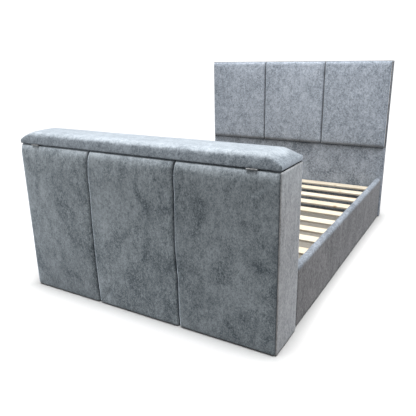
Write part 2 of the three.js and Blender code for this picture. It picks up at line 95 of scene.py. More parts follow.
# %% [markdown]
# ## Light
# Soft daylight falls from above, a little from the right, and the room fills the rest. A sun lamp
# with a wide angle keeps the floor evenly white out to the edge of the picture, which an area lamp
# can't do. One large area lamp hangs over the mattress bay. It brightens the headboard and leaves
# the outer face of the foot in its own soft shade, as in the picture. A weak lamp on the left
# stands for a window, and lights the left pad a little more than the right one.

# %% Set up the studio lights
SKY_FILL = 0.21
SKY_COLOUR = (0.95, 0.975, 1.0, 1)
SKY_SEEN = 1.15
SUN_STRENGTH = 7.4
SUN_COLOUR = (0.97, 0.985, 1.0)
SUN_SPREAD_DEGREES = 46
SUN_PLACE = (0, 0, 5)
SUN_TURN_DEGREES = (5, 4, 0)
BAY_LAMP_POWER = 30
BAY_LAMP_SIZE = (1.9, 1.1)
BAY_LAMP_PLACE = (0.3, -0.35, 2.15)
BAY_LAMP_TURN_DEGREES = (38, 0, 0)
WINDOW_POWER = 24
WINDOW_SIZE = (1.4, 1.6)
WINDOW_PLACE = (-2.3, -3.1, 1.5)
WINDOW_TURN_DEGREES = (80, 0, -48)

scene = bpy.context.scene
scene.view_settings.view_transform = "Standard"


def add_lamp(name, kind, place, turn_degrees, **settings):
    """A lamp with its settings, turned by degrees."""
    data = bpy.data.lights.new(name, kind)
    for setting, value in settings.items():
        setattr(data, setting, value)
    lamp = bpy.data.objects.new(name, data)
    lamp.location = place
    lamp.rotation_euler = Euler([math.radians(turn) for turn in turn_degrees])
    scene.collection.objects.link(lamp)
    return lamp


add_lamp("sky_lamp", "SUN", SUN_PLACE, SUN_TURN_DEGREES,
         energy=SUN_STRENGTH, angle=math.radians(SUN_SPREAD_DEGREES), color=SUN_COLOUR)
add_lamp("bay_lamp", "AREA", BAY_LAMP_PLACE, BAY_LAMP_TURN_DEGREES, shape="RECTANGLE",
         energy=BAY_LAMP_POWER, size=BAY_LAMP_SIZE[0], size_y=BAY_LAMP_SIZE[1])
add_lamp("window_lamp", "AREA", WINDOW_PLACE, WINDOW_TURN_DEGREES, shape="RECTANGLE",
         energy=WINDOW_POWER, size=WINDOW_SIZE[0], size_y=WINDOW_SIZE[1])

# %% [markdown]
# The room itself has two brightnesses: a weak one that fills the shadows, and white for the eye, so
# that the background is as plain as in the picture.

# %% Set up the room
world = bpy.data.worlds.new("studio")
world.use_nodes = True
scene.world = world
sky = world.node_tree.nodes["Background"]
sky.inputs["Color"].default_value = SKY_COLOUR
sky.inputs["Strength"].default_value = SKY_FILL
seen = world.node_tree.nodes.new("ShaderNodeBackground")
seen.inputs["Color"].default_value = (1, 1, 1, 1)
seen.inputs["Strength"].default_value = SKY_SEEN
chooser = world.node_tree.nodes.new("ShaderNodeMixShader")
path = world.node_tree.nodes.new("ShaderNodeLightPath")
links = world.node_tree.links
links.new(path.outputs["Is Camera Ray"], chooser.inputs["Fac"])
links.new(sky.outputs["Background"], chooser.inputs[1])
links.new(seen.outputs["Background"], chooser.inputs[2])
links.new(chooser.outputs["Shader"], world.node_tree.nodes["World Output"].inputs["Surface"])
print("room:", world.name, "fill", SKY_FILL, "seen", SKY_SEEN)

# %% [markdown]
# ## Sums on sockets
# A finish is mostly arithmetic on noise. Wiring every Math node by hand hides the sum, so a small
# class lets a socket take part in Python sums, and a second one keeps a material together with its
# Principled shader. All other nodes come from one method.

# %% Write the socket class
class Value:
    """A node's output that takes part in Python sums."""

    def __init__(self, finish, socket):
        self.finish = finish
        self.socket = socket

    def apply(self, operation, other, turned=False):
        first, second = (other, self) if turned else (self, other)
        return self.finish.node("ShaderNodeMath", {"operation": operation}, {0: first, 1: second})

    def __add__(self, other):
        return self.apply("ADD", other)

    def __mul__(self, other):
        return self.apply("MULTIPLY", other)

    def __sub__(self, other):
        return self.apply("SUBTRACT", other)

    def __rsub__(self, other):
        return self.apply("SUBTRACT", other, turned=True)

    def __pow__(self, other):
        return self.apply("POWER", other)

    __radd__ = __add__
    __rmul__ = __mul__


print("sums:", [name for name in vars(Value) if name.startswith("__r")])


# %% Write the finish class
class Finish:
    """A material with its Principled shader. What is the same all over is set on the shader."""

    def __init__(self, name, constants):
        self.material = bpy.data.materials.new(name)
        self.material.use_nodes = True
        self.tree = self.material.node_tree
        self.shader = self.tree.nodes["Principled BSDF"]
        for socket, value in constants.items():
            self.shader.inputs[socket].default_value = value

    def node(self, kind, settings=None, inputs=None, output=0):
        """Any node: its settings are set first, then its sockets' values or links."""
        made = self.tree.nodes.new(kind)
        for setting, value in (settings or {}).items():
            if setting == "stops":
                self.set_stops(made.color_ramp, value)
            else:
                setattr(made, setting, value)
        for socket, value in (inputs or {}).items():
            if isinstance(value, Value):
                self.tree.links.new(value.socket, made.inputs[socket])
            else:
                made.inputs[socket].default_value = value
        return Value(self, made.outputs[output])

    @staticmethod
    def set_stops(ramp, stops):
        while len(ramp.elements) < len(stops):
            ramp.elements.new(1.0)
        for element, (position, colour) in zip(ramp.elements, stops):
            element.position = position
            element.color = (*colour, 1)

    def place(self, stretch=(1, 1, 1), shift=(0, 0, 0)):
        """The point on the object in metres, scaled along each axis and shifted."""
        point = self.node("ShaderNodeTexCoord", output="Object")
        sockets = {"Vector": point, "Location": shift, "Scale": stretch}
        return self.node("ShaderNodeMapping", {"vector_type": "POINT"}, sockets)

    def axis(self, point, letter):
        """One coordinate of a point."""
        return self.node("ShaderNodeSeparateXYZ", {}, {0: point}, output=letter)

    def cloud(self, point, scale, detail=2.0, roughness=0.5, distortion=0.0):
        """Soft noise from 0 to 1."""
        sockets = {"Vector": point, "Scale": scale, "Detail": detail,
                   "Roughness": roughness, "Distortion": distortion}
        return self.node("ShaderNodeTexNoise", {"noise_dimensions": "3D"}, sockets)

    def cells(self, point, scale, randomness=1.0, through="3D", output="Distance"):
        """Cells round scattered points, in space or in a plane."""
        settings = {"feature": "F1", "voronoi_dimensions": through}
        sockets = {"Vector": point, "Scale": scale, "Randomness": randomness}
        return self.node("ShaderNodeTexVoronoi", settings, sockets, output)

    def ramp(self, value, stops):
        return self.node("ShaderNodeValToRGB", {"stops": stops}, {"Fac": value})

    def between(self, value, low, high):
        """0 below low, 1 above high, and a soft step between them."""
        settings = {"clamp": True, "interpolation_type": "SMOOTHSTEP"}
        sockets = {"Value": value, "From Min": low, "From Max": high, "To Min": 0.0, "To Max": 1.0}
        return self.node("ShaderNodeMapRange", settings, sockets)

    def mix(self, share, first, second):
        """Two colours mixed by a share."""
        settings = {"data_type": "RGBA", "blend_type": "MIX"}
        return self.node("ShaderNodeMix", settings, {0: share, 6: first, 7: second}, output=2)

    def feed(self, socket, value):
        self.tree.links.new(value.socket, self.shader.inputs[socket])

    def bump(self, height, strength, distance):
        sockets = {"Height": height, "Strength": strength, "Distance": distance}
        self.feed("Normal", self.node("ShaderNodeBump", inputs=sockets))


print("finish class:", Finish.__doc__)

# %% [markdown]
# ## Chenille
# The cloth is a blue grey chenille with a short pile. From across the room it is never one grey:
# the pile lies in patches, so it shows broad clouds, marks the size of a hand, and flecks the size
# of a fingertip. Cloth that hangs straight also shows upright strokes of the pile. Every layer
# reads Object coordinates, so the pattern runs on from one pad to the next. Along seams, in corners
# and under overhangs the colour is darkened as painted shade, and each pad stores on its points
# where that shade is painted. Some cloths also get a painted highlight on their top, and the rail a
# painted shadow beside the foot. A picture of cloth would be quicker, but it would repeat. The
# sheen is constant and sits on the shader itself.

# %% Write the chenille
PILE = {"Specular IOR Level": 0.15, "Sheen Roughness": 0.36, "Sheen Tint": (0.80, 0.89, 1.0, 1)}
PAINTED_SHADE_COLOUR = (0.016, 0.015, 0.014)
PAINTED_JOINT_SHADOW = (0.012, 0.012, 0.014, 1)


def pile_stops(dark, light):
    """Colour stops from the dark to the light side of the pile."""
    middle = [(a + b) / 2 for a, b in zip(dark, light)]
    return [(0.36, dark), (0.49, middle), (0.62, light)]


def chenille(name, dark, light, stroke=0.0, patch=1.0, sheen=0.95, tuft=0.17, lit_top=None,
             joint=None, shade_colour=PAINTED_SHADE_COLOUR, shift=(0, 0, 0)):
    """Chenille between a dark and a light colour.

    stroke is how upright the marks lie, patch how strong the crushed patches are, and tuft how much
    single tufts stand out. lit_top holds two heights and two colours: above them the colour is
    painted lighter, a painted highlight on the top. joint holds two places along Y: up to
    the first the colour is painted dark, a painted shadow where the rail meets the foot.
    shade_colour is the colour of painted shade, and the points' own "pressed" value says where
    that shade is painted. shift picks another part of the pattern.
    """
    cloth = Finish(name, {**PILE, "Sheen Weight": sheen})
    plain = cloth.place()

    def layer(upright, scale, detail, roughness, distortion=0.0, start=(0, 0, 0)):
        """Noise whose marks are drawn out upwards by the stroke."""
        point = cloth.place((1, 1, 1 - upright * stroke), start)
        return cloth.cloud(point, scale, detail, roughness, distortion)

    clouds = layer(0.45, 8.5, 4.0, 0.62, 0.7, shift)
    marks = layer(0.8, 30.0, 3.0, 0.65, 0.4, shift)
    tufts = layer(0.5, 88.0, 1.0, 0.6)
    flecks = layer(0.6, 210.0, 2.0, 0.75)
    tone = cloth.cloud(plain, 2.6, detail=1.0, roughness=0.5, distortion=0.4)
    pile = cloth.cloud(plain, 620.0, detail=1.0, roughness=0.6)
    crushed = cloth.between(clouds * 0.54 + marks * 0.32 + tufts * 0.14, 0.47, 0.60) * patch
    fine = (flecks - 0.5) * (0.50 + crushed * 0.22) + (pile - 0.5) * 0.12
    single = (tufts - 0.5) * (crushed * 0.12 + tuft)
    broad = (clouds - 0.5) * 0.26 + (tone - 0.5) * 0.22
    shade = fine + single + 0.5 + (marks - 0.5) * 0.28 - broad * patch - crushed * 0.05
    cloth.feed("Roughness", 0.86 + flecks * 0.14)
    cloth.bump(flecks * 0.65 + pile * 0.35, 0.5, 1.6 * MM)
    colour = cloth.ramp(shade, pile_stops(dark, light))
    # Painted highlight: above two heights the colour is painted lighter towards the top.
    if lit_top:
        start, end, lit_top_dark, lit_top_light = lit_top
        raised = cloth.ramp(shade, pile_stops(lit_top_dark, lit_top_light))
        height = cloth.axis(plain, "Z") + (marks - 0.5) * 0.02
        colour = cloth.mix(cloth.between(height, start, end), colour, raised)
    # Painted shadow: the colour is painted dark up to a place along Y, beside the foot.
    if joint:
        along = cloth.axis(plain, "Y") + (marks - 0.5) * 0.01
        colour = cloth.mix(cloth.between(along, *joint), PAINTED_JOINT_SHADOW, colour)
    # Painted shade: each point's stored value darkens the colour towards the shade colour.
    pressed = cloth.node("ShaderNodeAttribute", {"attribute_name": "pressed"}, output="Fac")
    cloth.feed("Base Color", cloth.mix(pressed, colour, (*shade_colour, 1)))
    return cloth.material


print("chenille ready, pressed pile:", PAINTED_SHADE_COLOUR)

# %% Mix the seven cloths
# Seven copies of one chenille: their colours differ partly as painted light, lighter where more
# light falls.
panel_cloth = chenille("chenille_panel", (0.063, 0.077, 0.086), (0.281, 0.308, 0.323), stroke=0.6,
                       tuft=0.25, shift=(5.55, 9.15, 3.45), shade_colour=(0.013, 0.016, 0.020),
                       lit_top=(0.792, 0.838, (0.150, 0.170, 0.187), (0.390, 0.426, 0.455)))
lid_cloth = chenille("chenille_lid", (0.068, 0.080, 0.092), (0.218, 0.242, 0.264), stroke=0.2,
                     patch=0.4, tuft=0.34,
                     lit_top=(0.872, 0.902, (0.170, 0.190, 0.208), (0.352, 0.382, 0.410)))
hanging_cloth = chenille("chenille_hanging", (0.162, 0.159, 0.160), (0.430, 0.420, 0.420),
                         stroke=0.9, patch=0.4, sheen=0.3,
                         lit_top=(0.60, 0.92, (0.215, 0.222, 0.230), (0.560, 0.575, 0.590)))
# The rail's cloth has a painted shadow beside the foot and a painted highlight on its top.
rail_cloth = chenille("chenille_rail", (0.085, 0.080, 0.079), (0.275, 0.262, 0.261), stroke=0.9,
                      patch=0.6, tuft=0.36, sheen=0.1, joint=(-0.825, -0.813),
                      lit_top=(0.296, 0.316, (0.078, 0.088, 0.102), (0.215, 0.236, 0.266)))
head_cloth = chenille("chenille_headboard", (0.102, 0.120, 0.143), (0.345, 0.376, 0.425),
                      stroke=0.3, patch=0.45, tuft=0.30, shade_colour=(0.040, 0.033, 0.027))
cover_cloth = chenille("chenille_cover", (0.088, 0.092, 0.100), (0.262, 0.270, 0.288),
                       stroke=0.3, patch=0.5, sheen=0.2)
low_cloth = chenille("chenille_lower", (0.092, 0.107, 0.128), (0.318, 0.346, 0.388),
                     stroke=0.3, patch=0.8, tuft=0.33)
cloths = (panel_cloth, lid_cloth, hanging_cloth, rail_cloth, head_cloth, cover_cloth, low_cloth)
print("cloths:", [cloth.name for cloth in cloths])

# %% [markdown]
# ## Wood, steel and plastic
# The slats are planed pine: pale bands that run along the slat, a few darker rings, and knots. The
# knots are cells round scattered points. On a slat they are read in the plane, because a thin board
# would hardly ever meet a round one. The hidden boards are raw chipboard, which is a mosaic of
# pressed chips. Steel parts are zinc plated, bright rolled, or powder coated, and the two housings
# are moulded in fine-textured plastic.

# %% Mix the wood finishes
PINE_BANDS = [(0.34, (0.30, 0.215, 0.135)), (0.46, (0.415, 0.357, 0.272)),
              (0.62, (0.466, 0.420, 0.342))]
KNOT_COLOUR = (0.20, 0.11, 0.05, 1)
KNOT_EDGE = (0.035, 0.070)
CHIP_TONES = [(0.25, (0.30, 0.19, 0.10)), (0.5, (0.50, 0.36, 0.21)), (0.78, (0.68, 0.54, 0.36))]
LINING_AND_SHADE_TONES = [(0.3, (0.016, 0.017, 0.019)), (0.7, (0.040, 0.042, 0.046))]
LINED_AND_SHADED_FROM = 0.798


def pine(name, along):
    """Planed pine whose grain runs along one axis: 0 is X, 1 is Y and 2 is Z."""
    wood = Finish(name, {"Specular IOR Level": 0.35})

    def drawn_out(share):
        """The point, with the pattern drawn out along the grain."""
        return wood.place([share if axis == along else 1.0 for axis in range(3)])

    grain = wood.cloud(drawn_out(0.07), 42.0, detail=3.0, roughness=0.6, distortion=1.4)
    fine = wood.cloud(drawn_out(0.02), 420.0, detail=2.0, roughness=0.6)
    tone = wood.cloud(wood.place(), 3.2, detail=1.0)
    body = wood.ramp(grain * 0.62 + fine * 0.22 + tone * 0.16, PINE_BANDS)
    spots = wood.cells(drawn_out(0.45), 6.0, through="3D" if along == 2 else "2D")
    knots = 1 - wood.between(spots + grain * 0.03, *KNOT_EDGE)
    wood.feed("Base Color", wood.mix(knots * 0.85, body, KNOT_COLOUR))
    wood.feed("Roughness", 0.52 + fine * 0.2)
    wood.bump(fine * 0.6 + grain * 0.4, 0.25, 0.4 * MM)
    return wood.material


def chipboard(name, lined_shade_from=None):
    """Raw pressed board of pale and brown chips; its top edge is painted dark as lining and shade.
    """
    board = Finish(name, {"Specular IOR Level": 0.25})
    plain = board.place()
    chips = board.cells(plain, 210.0, output="Color")
    chip = board.node("ShaderNodeSeparateColor", {}, {"Color": chips})
    dust = board.cloud(plain, 900.0, detail=2.0, roughness=0.7)
    tone = board.cloud(plain, 5.0, detail=2.0)
    colour = board.ramp(chip * 0.5 + dust * 0.3 + tone * 0.2, CHIP_TONES)
    if lined_shade_from:
        # Above a height the board is painted as dark lining, which also paints shade into the lid's
        # gap.
        lined = board.between(board.axis(plain, "Z"), lined_shade_from, lined_shade_from + 0.3 * MM)
        colour = board.mix(lined, colour, board.ramp(dust, LINING_AND_SHADE_TONES))
    board.feed("Base Color", colour)
    board.feed("Roughness", 0.72 + dust * 0.2)
    board.bump(chip * 0.5 + dust * 0.5, 0.3, 0.5 * MM)
    return board.material


pine_across, pine_along, pine_upright = [
    pine(f"pine_{way}", along) for along, way in enumerate(("across", "along", "upright"))]
raw_board = chipboard("raw_chipboard")
lined_shaded_board = chipboard("lined_shaded_chipboard", LINED_AND_SHADED_FROM)
woods = (pine_across, pine_along, pine_upright, raw_board, lined_shaded_board)
print("woods:", [wood.name for wood in woods])


# %% Mix the lining
FELT_TONES = [(0.3, (0.010, 0.010, 0.011)), (0.7, (0.034, 0.034, 0.037))]


def felt(name):
    """Thin black spunbond lining: short fibres and a faint grid of pressed dots."""
    sheet = Finish(name, {"Specular IOR Level": 0.2})
    fibres = sheet.cloud(sheet.place((1, 0.35, 1)), 520.0, detail=3.0, roughness=0.7)
    dots = sheet.cells(sheet.place(), 420.0, randomness=0.15)
    shade = fibres * 0.7 + dots * 0.3
    sheet.feed("Base Color", sheet.ramp(shade, FELT_TONES))
    sheet.feed("Roughness", 0.72 + fibres * 0.2)
    sheet.bump(shade, 0.4, 0.3 * MM)
    return sheet.material


lining_felt = felt("black_lining")
print("lining:", lining_felt.name)


# %% Mix the metal and plastic finishes
def metal(name, colour, roughness, brush):
    """Steel with a faint brushed or rolled grain that runs along one axis."""
    steel = Finish(name, {"Metallic": 1.0})
    stretch = [0.03 if axis == brush else 1.0 for axis in range(3)]
    lines = steel.cloud(steel.place(stretch), 900.0, detail=2.0, roughness=0.6)
    stain = steel.cloud(steel.place(), 24.0, detail=4.0, roughness=0.6)
    shade = lines * 0.4 + stain * 0.6
    low = [0.78 * part for part in colour]
    steel.feed("Base Color", steel.ramp(shade, [(0.35, low), (0.65, colour)]))
    steel.feed("Roughness", roughness + (shade - 0.5) * 0.3)
    steel.bump(lines, 0.12, 0.15 * MM)
    return steel.material


def moulded(name, colour, roughness, texture_scale):
    """Moulded plastic or powder coat: one colour, broken up by a fine pebbled skin and dust."""
    skin = Finish(name, {"Specular IOR Level": 0.45})
    pebbles = skin.cloud(skin.place(), texture_scale, detail=2.0, roughness=0.55)
    dust = skin.cloud(skin.place(), 14.0, detail=3.0, roughness=0.6)
    dusty = [part + 0.045 for part in colour]
    skin.feed("Base Color", skin.ramp(dust, [(0.42, colour), (0.75, dusty)]))
    skin.feed("Roughness", roughness + (dust - 0.5) * 0.25)
    skin.bump(pebbles, 0.35, 0.3 * MM)
    return skin.material


zinc_steel = metal("zinc_plate", (0.60, 0.61, 0.63), 0.38, 2)
bright_steel = metal("bright_steel", (0.27, 0.27, 0.27), 0.45, 0)
powder_coat = moulded("black_powder_coat", (0.022, 0.023, 0.026), 0.46, 1400.0)
black_plastic = moulded("black_plastic", (0.018, 0.018, 0.020), 0.55, 2200.0)
print("hard finishes:", zinc_steel.name, bright_steel.name, powder_coat.name, black_plastic.name)

# %% [markdown]
# ## Finishes on the parts that stay
# The boards, slats, steel and plastic parts have the right shape already. They only need their
# finish, and an edge that catches the light. Their meshes are loose triangles, so a Weld modifier
# joins them before a Bevel rounds the sharp edges. The meshes themselves aren't touched.

# %% Dress the hard parts
FINISHES = {"timber_board": (raw_board, 0.8), "pine": (pine_across, 1.2),
            "black_steel": (powder_coat, 0.6), "zinc_steel": (zinc_steel, 0.4),
            "bright_steel": (bright_steel, 0.25), "black_plastic": (black_plastic, 1.0)}
WELD_REACH = 0.01 * MM
SHARP_DEGREES = 40
slot_of = {part["node"]: part["material_slot"] for part in frame["record"]["subparts"]}


def finish_for(name, plain):
    """The finish of a hard part. Pine follows the part's length, and cabinet boards are painted
    dark at the top as lining and painted shade.
    """
    if plain is raw_board and name.startswith("cabinet"):
        return lined_shaded_board
    if name.startswith("slat_ledger") or name == "centre_rail":
        return pine_along
    return pine_upright if name.startswith("centre_leg") else plain


def soften_edges(part, width):
    """Welds a part's loose triangles and rounds its sharp edges."""
    weld = part.modifiers.new("weld", "WELD")
    weld.merge_threshold = WELD_REACH
    bevel = part.modifiers.new("soft_edges", "BEVEL")
    bevel.limit_method = "ANGLE"
    bevel.angle_limit = math.radians(SHARP_DEGREES)
    bevel.width = width
    bevel.segments = 2


for name, part in nodes.items():
    if slot_of[name] != "chenille":
        plain, edge_round = FINISHES[slot_of[name]]
        part.data.materials.clear()
        part.data.materials.append(finish_for(name, plain))
        soften_edges(part, edge_round * MM)
print("hard parts dressed:", sum(slot != "chenille" for slot in slot_of.values()))

# %% [markdown]
# ## How a pad is made
# A pad is foam on a board with cloth pulled round it and stapled behind. Here it starts as a grid.
# Each point is raised by a function that knows the pad: how the top rolls over, how deep the seams
# pull in. The rim is then extruded back to the board and closed, so the pad is one closed body.
# After that a cloth simulation with a little air pressure lets the skin of a crowned pad settle
# between its staples. A subdivision surface on its own would do for one pad, but all pads would
# look alike.

# %% Write the pad's body
def rise(distance, reach, power=2.0):
    """A quarter circle: 0 at an edge, 1 from reach inwards. A higher power makes it squarer."""
    share = min(max(distance / reach, 0.0), 1.0)
    return (1 - (1 - share) ** power) ** (1 / power)


def crowd(place, amount=0.55):
    """Moves grid lines towards the edges, where a pad curves most. place runs from -1 to 1."""
    return (1 - amount) * place + amount * math.sin(place * math.pi / 2)


def grow_rim(mesh, rim):
    """Extrudes a line of edges, still in its place. Returns the new edges and their points."""
    made = bmesh.ops.extrude_edge_only(mesh, edges=rim)["geom"]
    points = [part for part in made if isinstance(part, bmesh.types.BMVert)]
    reached = set(points)
    edges = [part for part in made if isinstance(part, bmesh.types.BMEdge)
             and reached.issuperset(part.verts)]
    return edges, points


def pad_body(width, height, cells, swell, wall=((0.0, 0.0),), recess=0.0):
    """A grid raised by swell, with a wall of (inset, level) steps to a flat back or a recess."""
    skin = bmesh.new()
    bmesh.ops.create_grid(skin, x_segments=cells[0], y_segments=cells[1], size=1.0)
    for point in skin.verts:
        across = crowd(point.co.x) * width / 2
        up = crowd(point.co.y) * height / 2
        point.co = (across, up, swell(across, up))
    rim = [edge for edge in skin.edges if edge.is_boundary]
    last_inset = 0.0
    for inset, level in wall:
        rim, points = grow_rim(skin, rim)
        for point in points:
            for axis, length in ((0, width), (1, height)):
                if abs(point.co[axis]) > length / 2 - inset - MM:
                    point.co[axis] -= math.copysign(inset - last_inset, point.co[axis])
            point.co.z = min(point.co.z, level) if level > 0 else level
        last_inset = inset
    if recess:
        rim, points = grow_rim(skin, rim)
        bmesh.ops.translate(skin, verts=points, vec=(0, 0, recess))
    back = bmesh.ops.contextual_create(skin, geom=rim)["faces"]
    bmesh.ops.triangulate(skin, faces=back, ngon_method="BEAUTY")
    bmesh.ops.recalc_face_normals(skin, faces=skin.faces)
    return skin


print("grid lines of a pad:", [round(crowd(n / 4), 3) for n in range(5)])


# %% Write the last steps of a piece
def finish_piece(name, skin, material, smooth=True):
    """Turns a bmesh into an object of the scene."""
    mesh = bpy.data.meshes.new(name)
    for face in skin.faces:
        face.smooth = smooth
    skin.to_mesh(mesh)
    skin.free()
    mesh.materials.append(material)
    piece = bpy.data.objects.new(name, mesh)
    scene.collection.objects.link(piece)
    return piece


def sew(name, skin, to_bed, cloth, painted_shade_at=None):
    """Moves a pad from its own across, up and out to the bed, and stores its painted shade."""
    for point in skin.verts:
        point.co = to_bed(*point.co)
    bmesh.ops.recalc_face_normals(skin, faces=skin.faces)
    piece = finish_piece(f"{name}_cloth", skin, cloth)
    if painted_shade_at:
        # The "pressed" attribute holds painted shade: how far each point's colour is darkened.
        pressed = piece.data.attributes.new("pressed", "FLOAT", "POINT")
        for value, point in zip(pressed.data, piece.data.vertices):
            value.value = painted_shade_at(point.co)
    return piece


def fading(distance, reach, strength):
    """The strength at a seam, easing to 0 at reach."""
    return strength * (1 - rise(distance, reach))


def sunk(distance, roll):
    """How far a roll of (reach, depth) in mm lies below the crown at a distance from its edge."""
    reach, depth = roll
    return depth * MM * (1 - rise(distance, reach * MM))


def round_over(piece):
    """One live subdivision, the same in the view and in the render."""
    smooth = piece.modifiers.new("round_over", "SUBSURF")
    smooth.levels = smooth.render_levels = 1


def upholster(piece, node_name, fill, body="bed_frame"):
    """Hangs a pad on what it rides on, and hides the part it stands for. fill is not used."""
    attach(piece, body)
    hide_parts(node_name)


print("a roll of 20 by 10 mm, 5 mm in:", round(sunk(5 * MM, (20, 10)) / MM, 2), "mm")

# %% [markdown]
# ## Letting the cloth settle
# The simulation needs pins. Everything on the board side is stapled, and so is the line of each
# seam. The rest may move, but never further than a cap, because real foam holds the cloth back. The
# cap grows from nothing at the staples to its full size further in, so no fold stands in a corner.

# %% Write the settling step
SETTLE_FRAMES = 20
CLOTH_SETTINGS = {"quality": 6, "mass": 0.4, "tension_stiffness": 25, "compression_stiffness": 25,
                  "shear_stiffness": 12, "bending_stiffness": 2, "use_pressure": True}


def settle(piece, is_pinned, cap_at, pressure=3.0, slack=0.002):
    """Runs Cloth with air pressure, caps each point's move by its place, and keeps the result."""
    start = [point.co.copy() for point in piece.data.vertices]
    pins = piece.vertex_groups.new(name="staples")
    pins.add([n for n, place in enumerate(start) if is_pinned(place)], 1.0, "REPLACE")
    cloth = piece.modifiers.new("cloth", "CLOTH")
    for setting, value in CLOTH_SETTINGS.items():
        setattr(cloth.settings, setting, value)
    cloth.settings.vertex_group_mass = pins.name
    cloth.settings.uniform_pressure_force = pressure
    cloth.settings.shrink_min = -slack
    cloth.settings.effector_weights.gravity = 0
    cloth.collision_settings.use_collision = False
    for frame_number in range(1, SETTLE_FRAMES + 1):
        scene.frame_set(frame_number)
    settled = piece.evaluated_get(bpy.context.evaluated_depsgraph_get()).data
    moved = [point.co.copy() for point in settled.vertices]
    piece.modifiers.remove(cloth)
    for point, old, new in zip(piece.data.vertices, start, moved):
        step = new - old
        point.co = old + step * min(1.0, cap_at(old) / max(step.length, 1e-9))
    scene.frame_set(1)


def growing_cap(low, high, cap, reach):
    """A cap that grows from nothing at the edges of a pad's front to its full size at reach."""
    def cap_at(at):
        nearest = min(at.x - low.x, high.x - at.x, at.z - low.z, high.z - at.z)
        return cap * min(max(nearest / reach, 0.0), 1.0)
    return cap_at


print("settling runs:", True)

# %% [markdown]
# ## Crowned pads
# The foot and the headboard both have three crowned pads side by side, so one function makes all
# six. A style holds what the pads of one row share: how high the crown stands, how far it domes and
# ripples, and how far in and how deep each edge, seam and slot pulls it, all in millimetres. A
# function for each row would be plainer to read, but every change would have to be made twice.

# %% Write the crowned pad
CROWN_WAVES = 5
BACK_EDGE_IN = 0.4 * MM


def make_crowned_pad(name, style, rolls, cloth, wander, also_shaded):
    """One pad between the rolls of its left and right edge. wander moves a seam sideways."""
    low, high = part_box(name)
    width, height = high.x - low.x, high.z - low.z
    middle_x, middle_z = (low.x + high.x) / 2, (low.z + high.z) / 2
    seams = [roll == style.seam for roll in rolls]

    def swell(across, up):
        size, start, layer = style.ripple
        at = Vector((across * CROWN_WAVES + middle_x * start, up * CROWN_WAVES, layer))
        ripple = noise.noise(at) * size
        dome = math.cos(math.pi * across / width) * math.cos(math.pi * up / height)
        out = (style.crown + style.dome * dome + ripple) * MM
        places = (width / 2 + across, width / 2 - across, height / 2 - up, height / 2 + up)
        for place, roll in zip(places, (*rolls, style.top, style.hem)):
            out -= sunk(place, roll)
        for place, is_seam in zip(places, seams):
            out -= sunk(place, style.slot) * is_seam
        return max(out, style.lowest * MM)

    def to_bed(across, up, out):
        z = middle_z + up
        share = across / width + 0.5
        left, right = wander(low.x, z) * seams[0], wander(high.x, z) * seams[1]
        return (middle_x + across + left * (1 - share) + right * share, high.y - out, z)

    # Painted shade beside the seams, and the pad's other painted shade.
    def painted_shade_at(at):
        from_left = at.x - low.x - wander(low.x, at.z)
        from_right = high.x + wander(high.x, at.z) - at.x
        return max(fading(from_left, *style.press_left) * seams[0],
                   fading(from_right, *style.press_right) * seams[1], also_shaded(at))

    def is_pinned(at):
        edge = min(at.x - low.x, high.x - at.x, at.z - low.z, high.z - at.z)
        return edge < style.stapled_edge or at.y > high.y - style.stapled_wall

    wall = ((BACK_EDGE_IN, style.wall), (0.0, 0.0))
    skin = pad_body(width, height, style.cells, swell, wall)
    piece = sew(name, skin, to_bed, cloth, painted_shade_at)
    settle(piece, is_pinned, growing_cap(low, high, style.cap, style.cap_reach))
    round_over(piece)
    upholster(piece, name, style.fill)
    return piece


print("crowned pads: three on the foot, three on the headboard")

# %% [markdown]
# ## The three pads on the foot
# The foot is one foam-covered board with three widths of cloth. The seams pull the foam in by a
# centimetre, they wander a few millimetres, and at the top they follow the roll back under the lid.
# The outer edges turn in sharply, where a tight seam joins the side cloth. Each pad is painted
# darker by height in its own way, as painted shade, so the pads don't share one grey. Painted shade
# also darkens the seams, the right corner and the pads' top under the lid's gap.

# %% Make the foot pads
FOOT = SimpleNamespace(
    crown=34.5, dome=3.5, ripple=(1.3, 9, 1.7), lowest=3.0, cells=(54, 92), fill=0.75,
    top=(60, 18), hem=(16, 9), seam=(21, 16), slot=(4.0, 11), wall=12 * MM,
    press_left=(3 * MM, 0.5), press_right=(9 * MM, 0.85),
    stapled_edge=3.5 * MM, stapled_wall=5 * MM, cap=3.5 * MM, cap_reach=110 * MM)
FOOT_OUTER_ROLL = (26, 17)
FOOT_CORNER_ROLL = (8, 16)
SEAM_WAVES = ((2.2, 7.0, 9.0, 0.0), (1.1, 17.0, 0.0, 3.0))
SEAM_SHIFTS = (3.5, -1.5)
SEAM_TOP_BENDS = ((22, 0.16), (11, 0.11))
SEAM_HEM_BENDS = ((13, 0.30, 0.30), (6.3, 0.40, 0.14))
# Painted shade: at the right corner, under the lid's gap, and darker by height on each pad.
CORNER_SHADE = (5 * MM, 0.70)
GAP_SHADE = (5 * MM, 0.80)
PAD_SHADE = {"left": (0.25, 0.12, 0.12), "middle": (0.0, 0.07, 0.24), "right": (0.15, 0.20, 0.34)}
ROLL_CLEAR = 45 * MM
foot_low, foot_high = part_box("foot_pad_left")[0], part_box("foot_pad_right")[1]


def seam_wander(x, z):
    """How far a seam of the foot strays sideways at a height."""
    wave = sum(size * math.sin(by_z * z + by_x * x + start)
               for size, by_z, by_x, start in SEAM_WAVES)
    bend, reach = SEAM_TOP_BENDS[x > 0]
    at_top = bend * max(0.0, 1 - (foot_high.z - z) / reach) ** 2
    bend, start, fade = SEAM_HEM_BENDS[x > 0]
    at_hem = bend * min(max((start - z) / fade, 0.0), 1.0)
    return (wave + SEAM_SHIFTS[x > 0] + at_top + at_hem) * MM


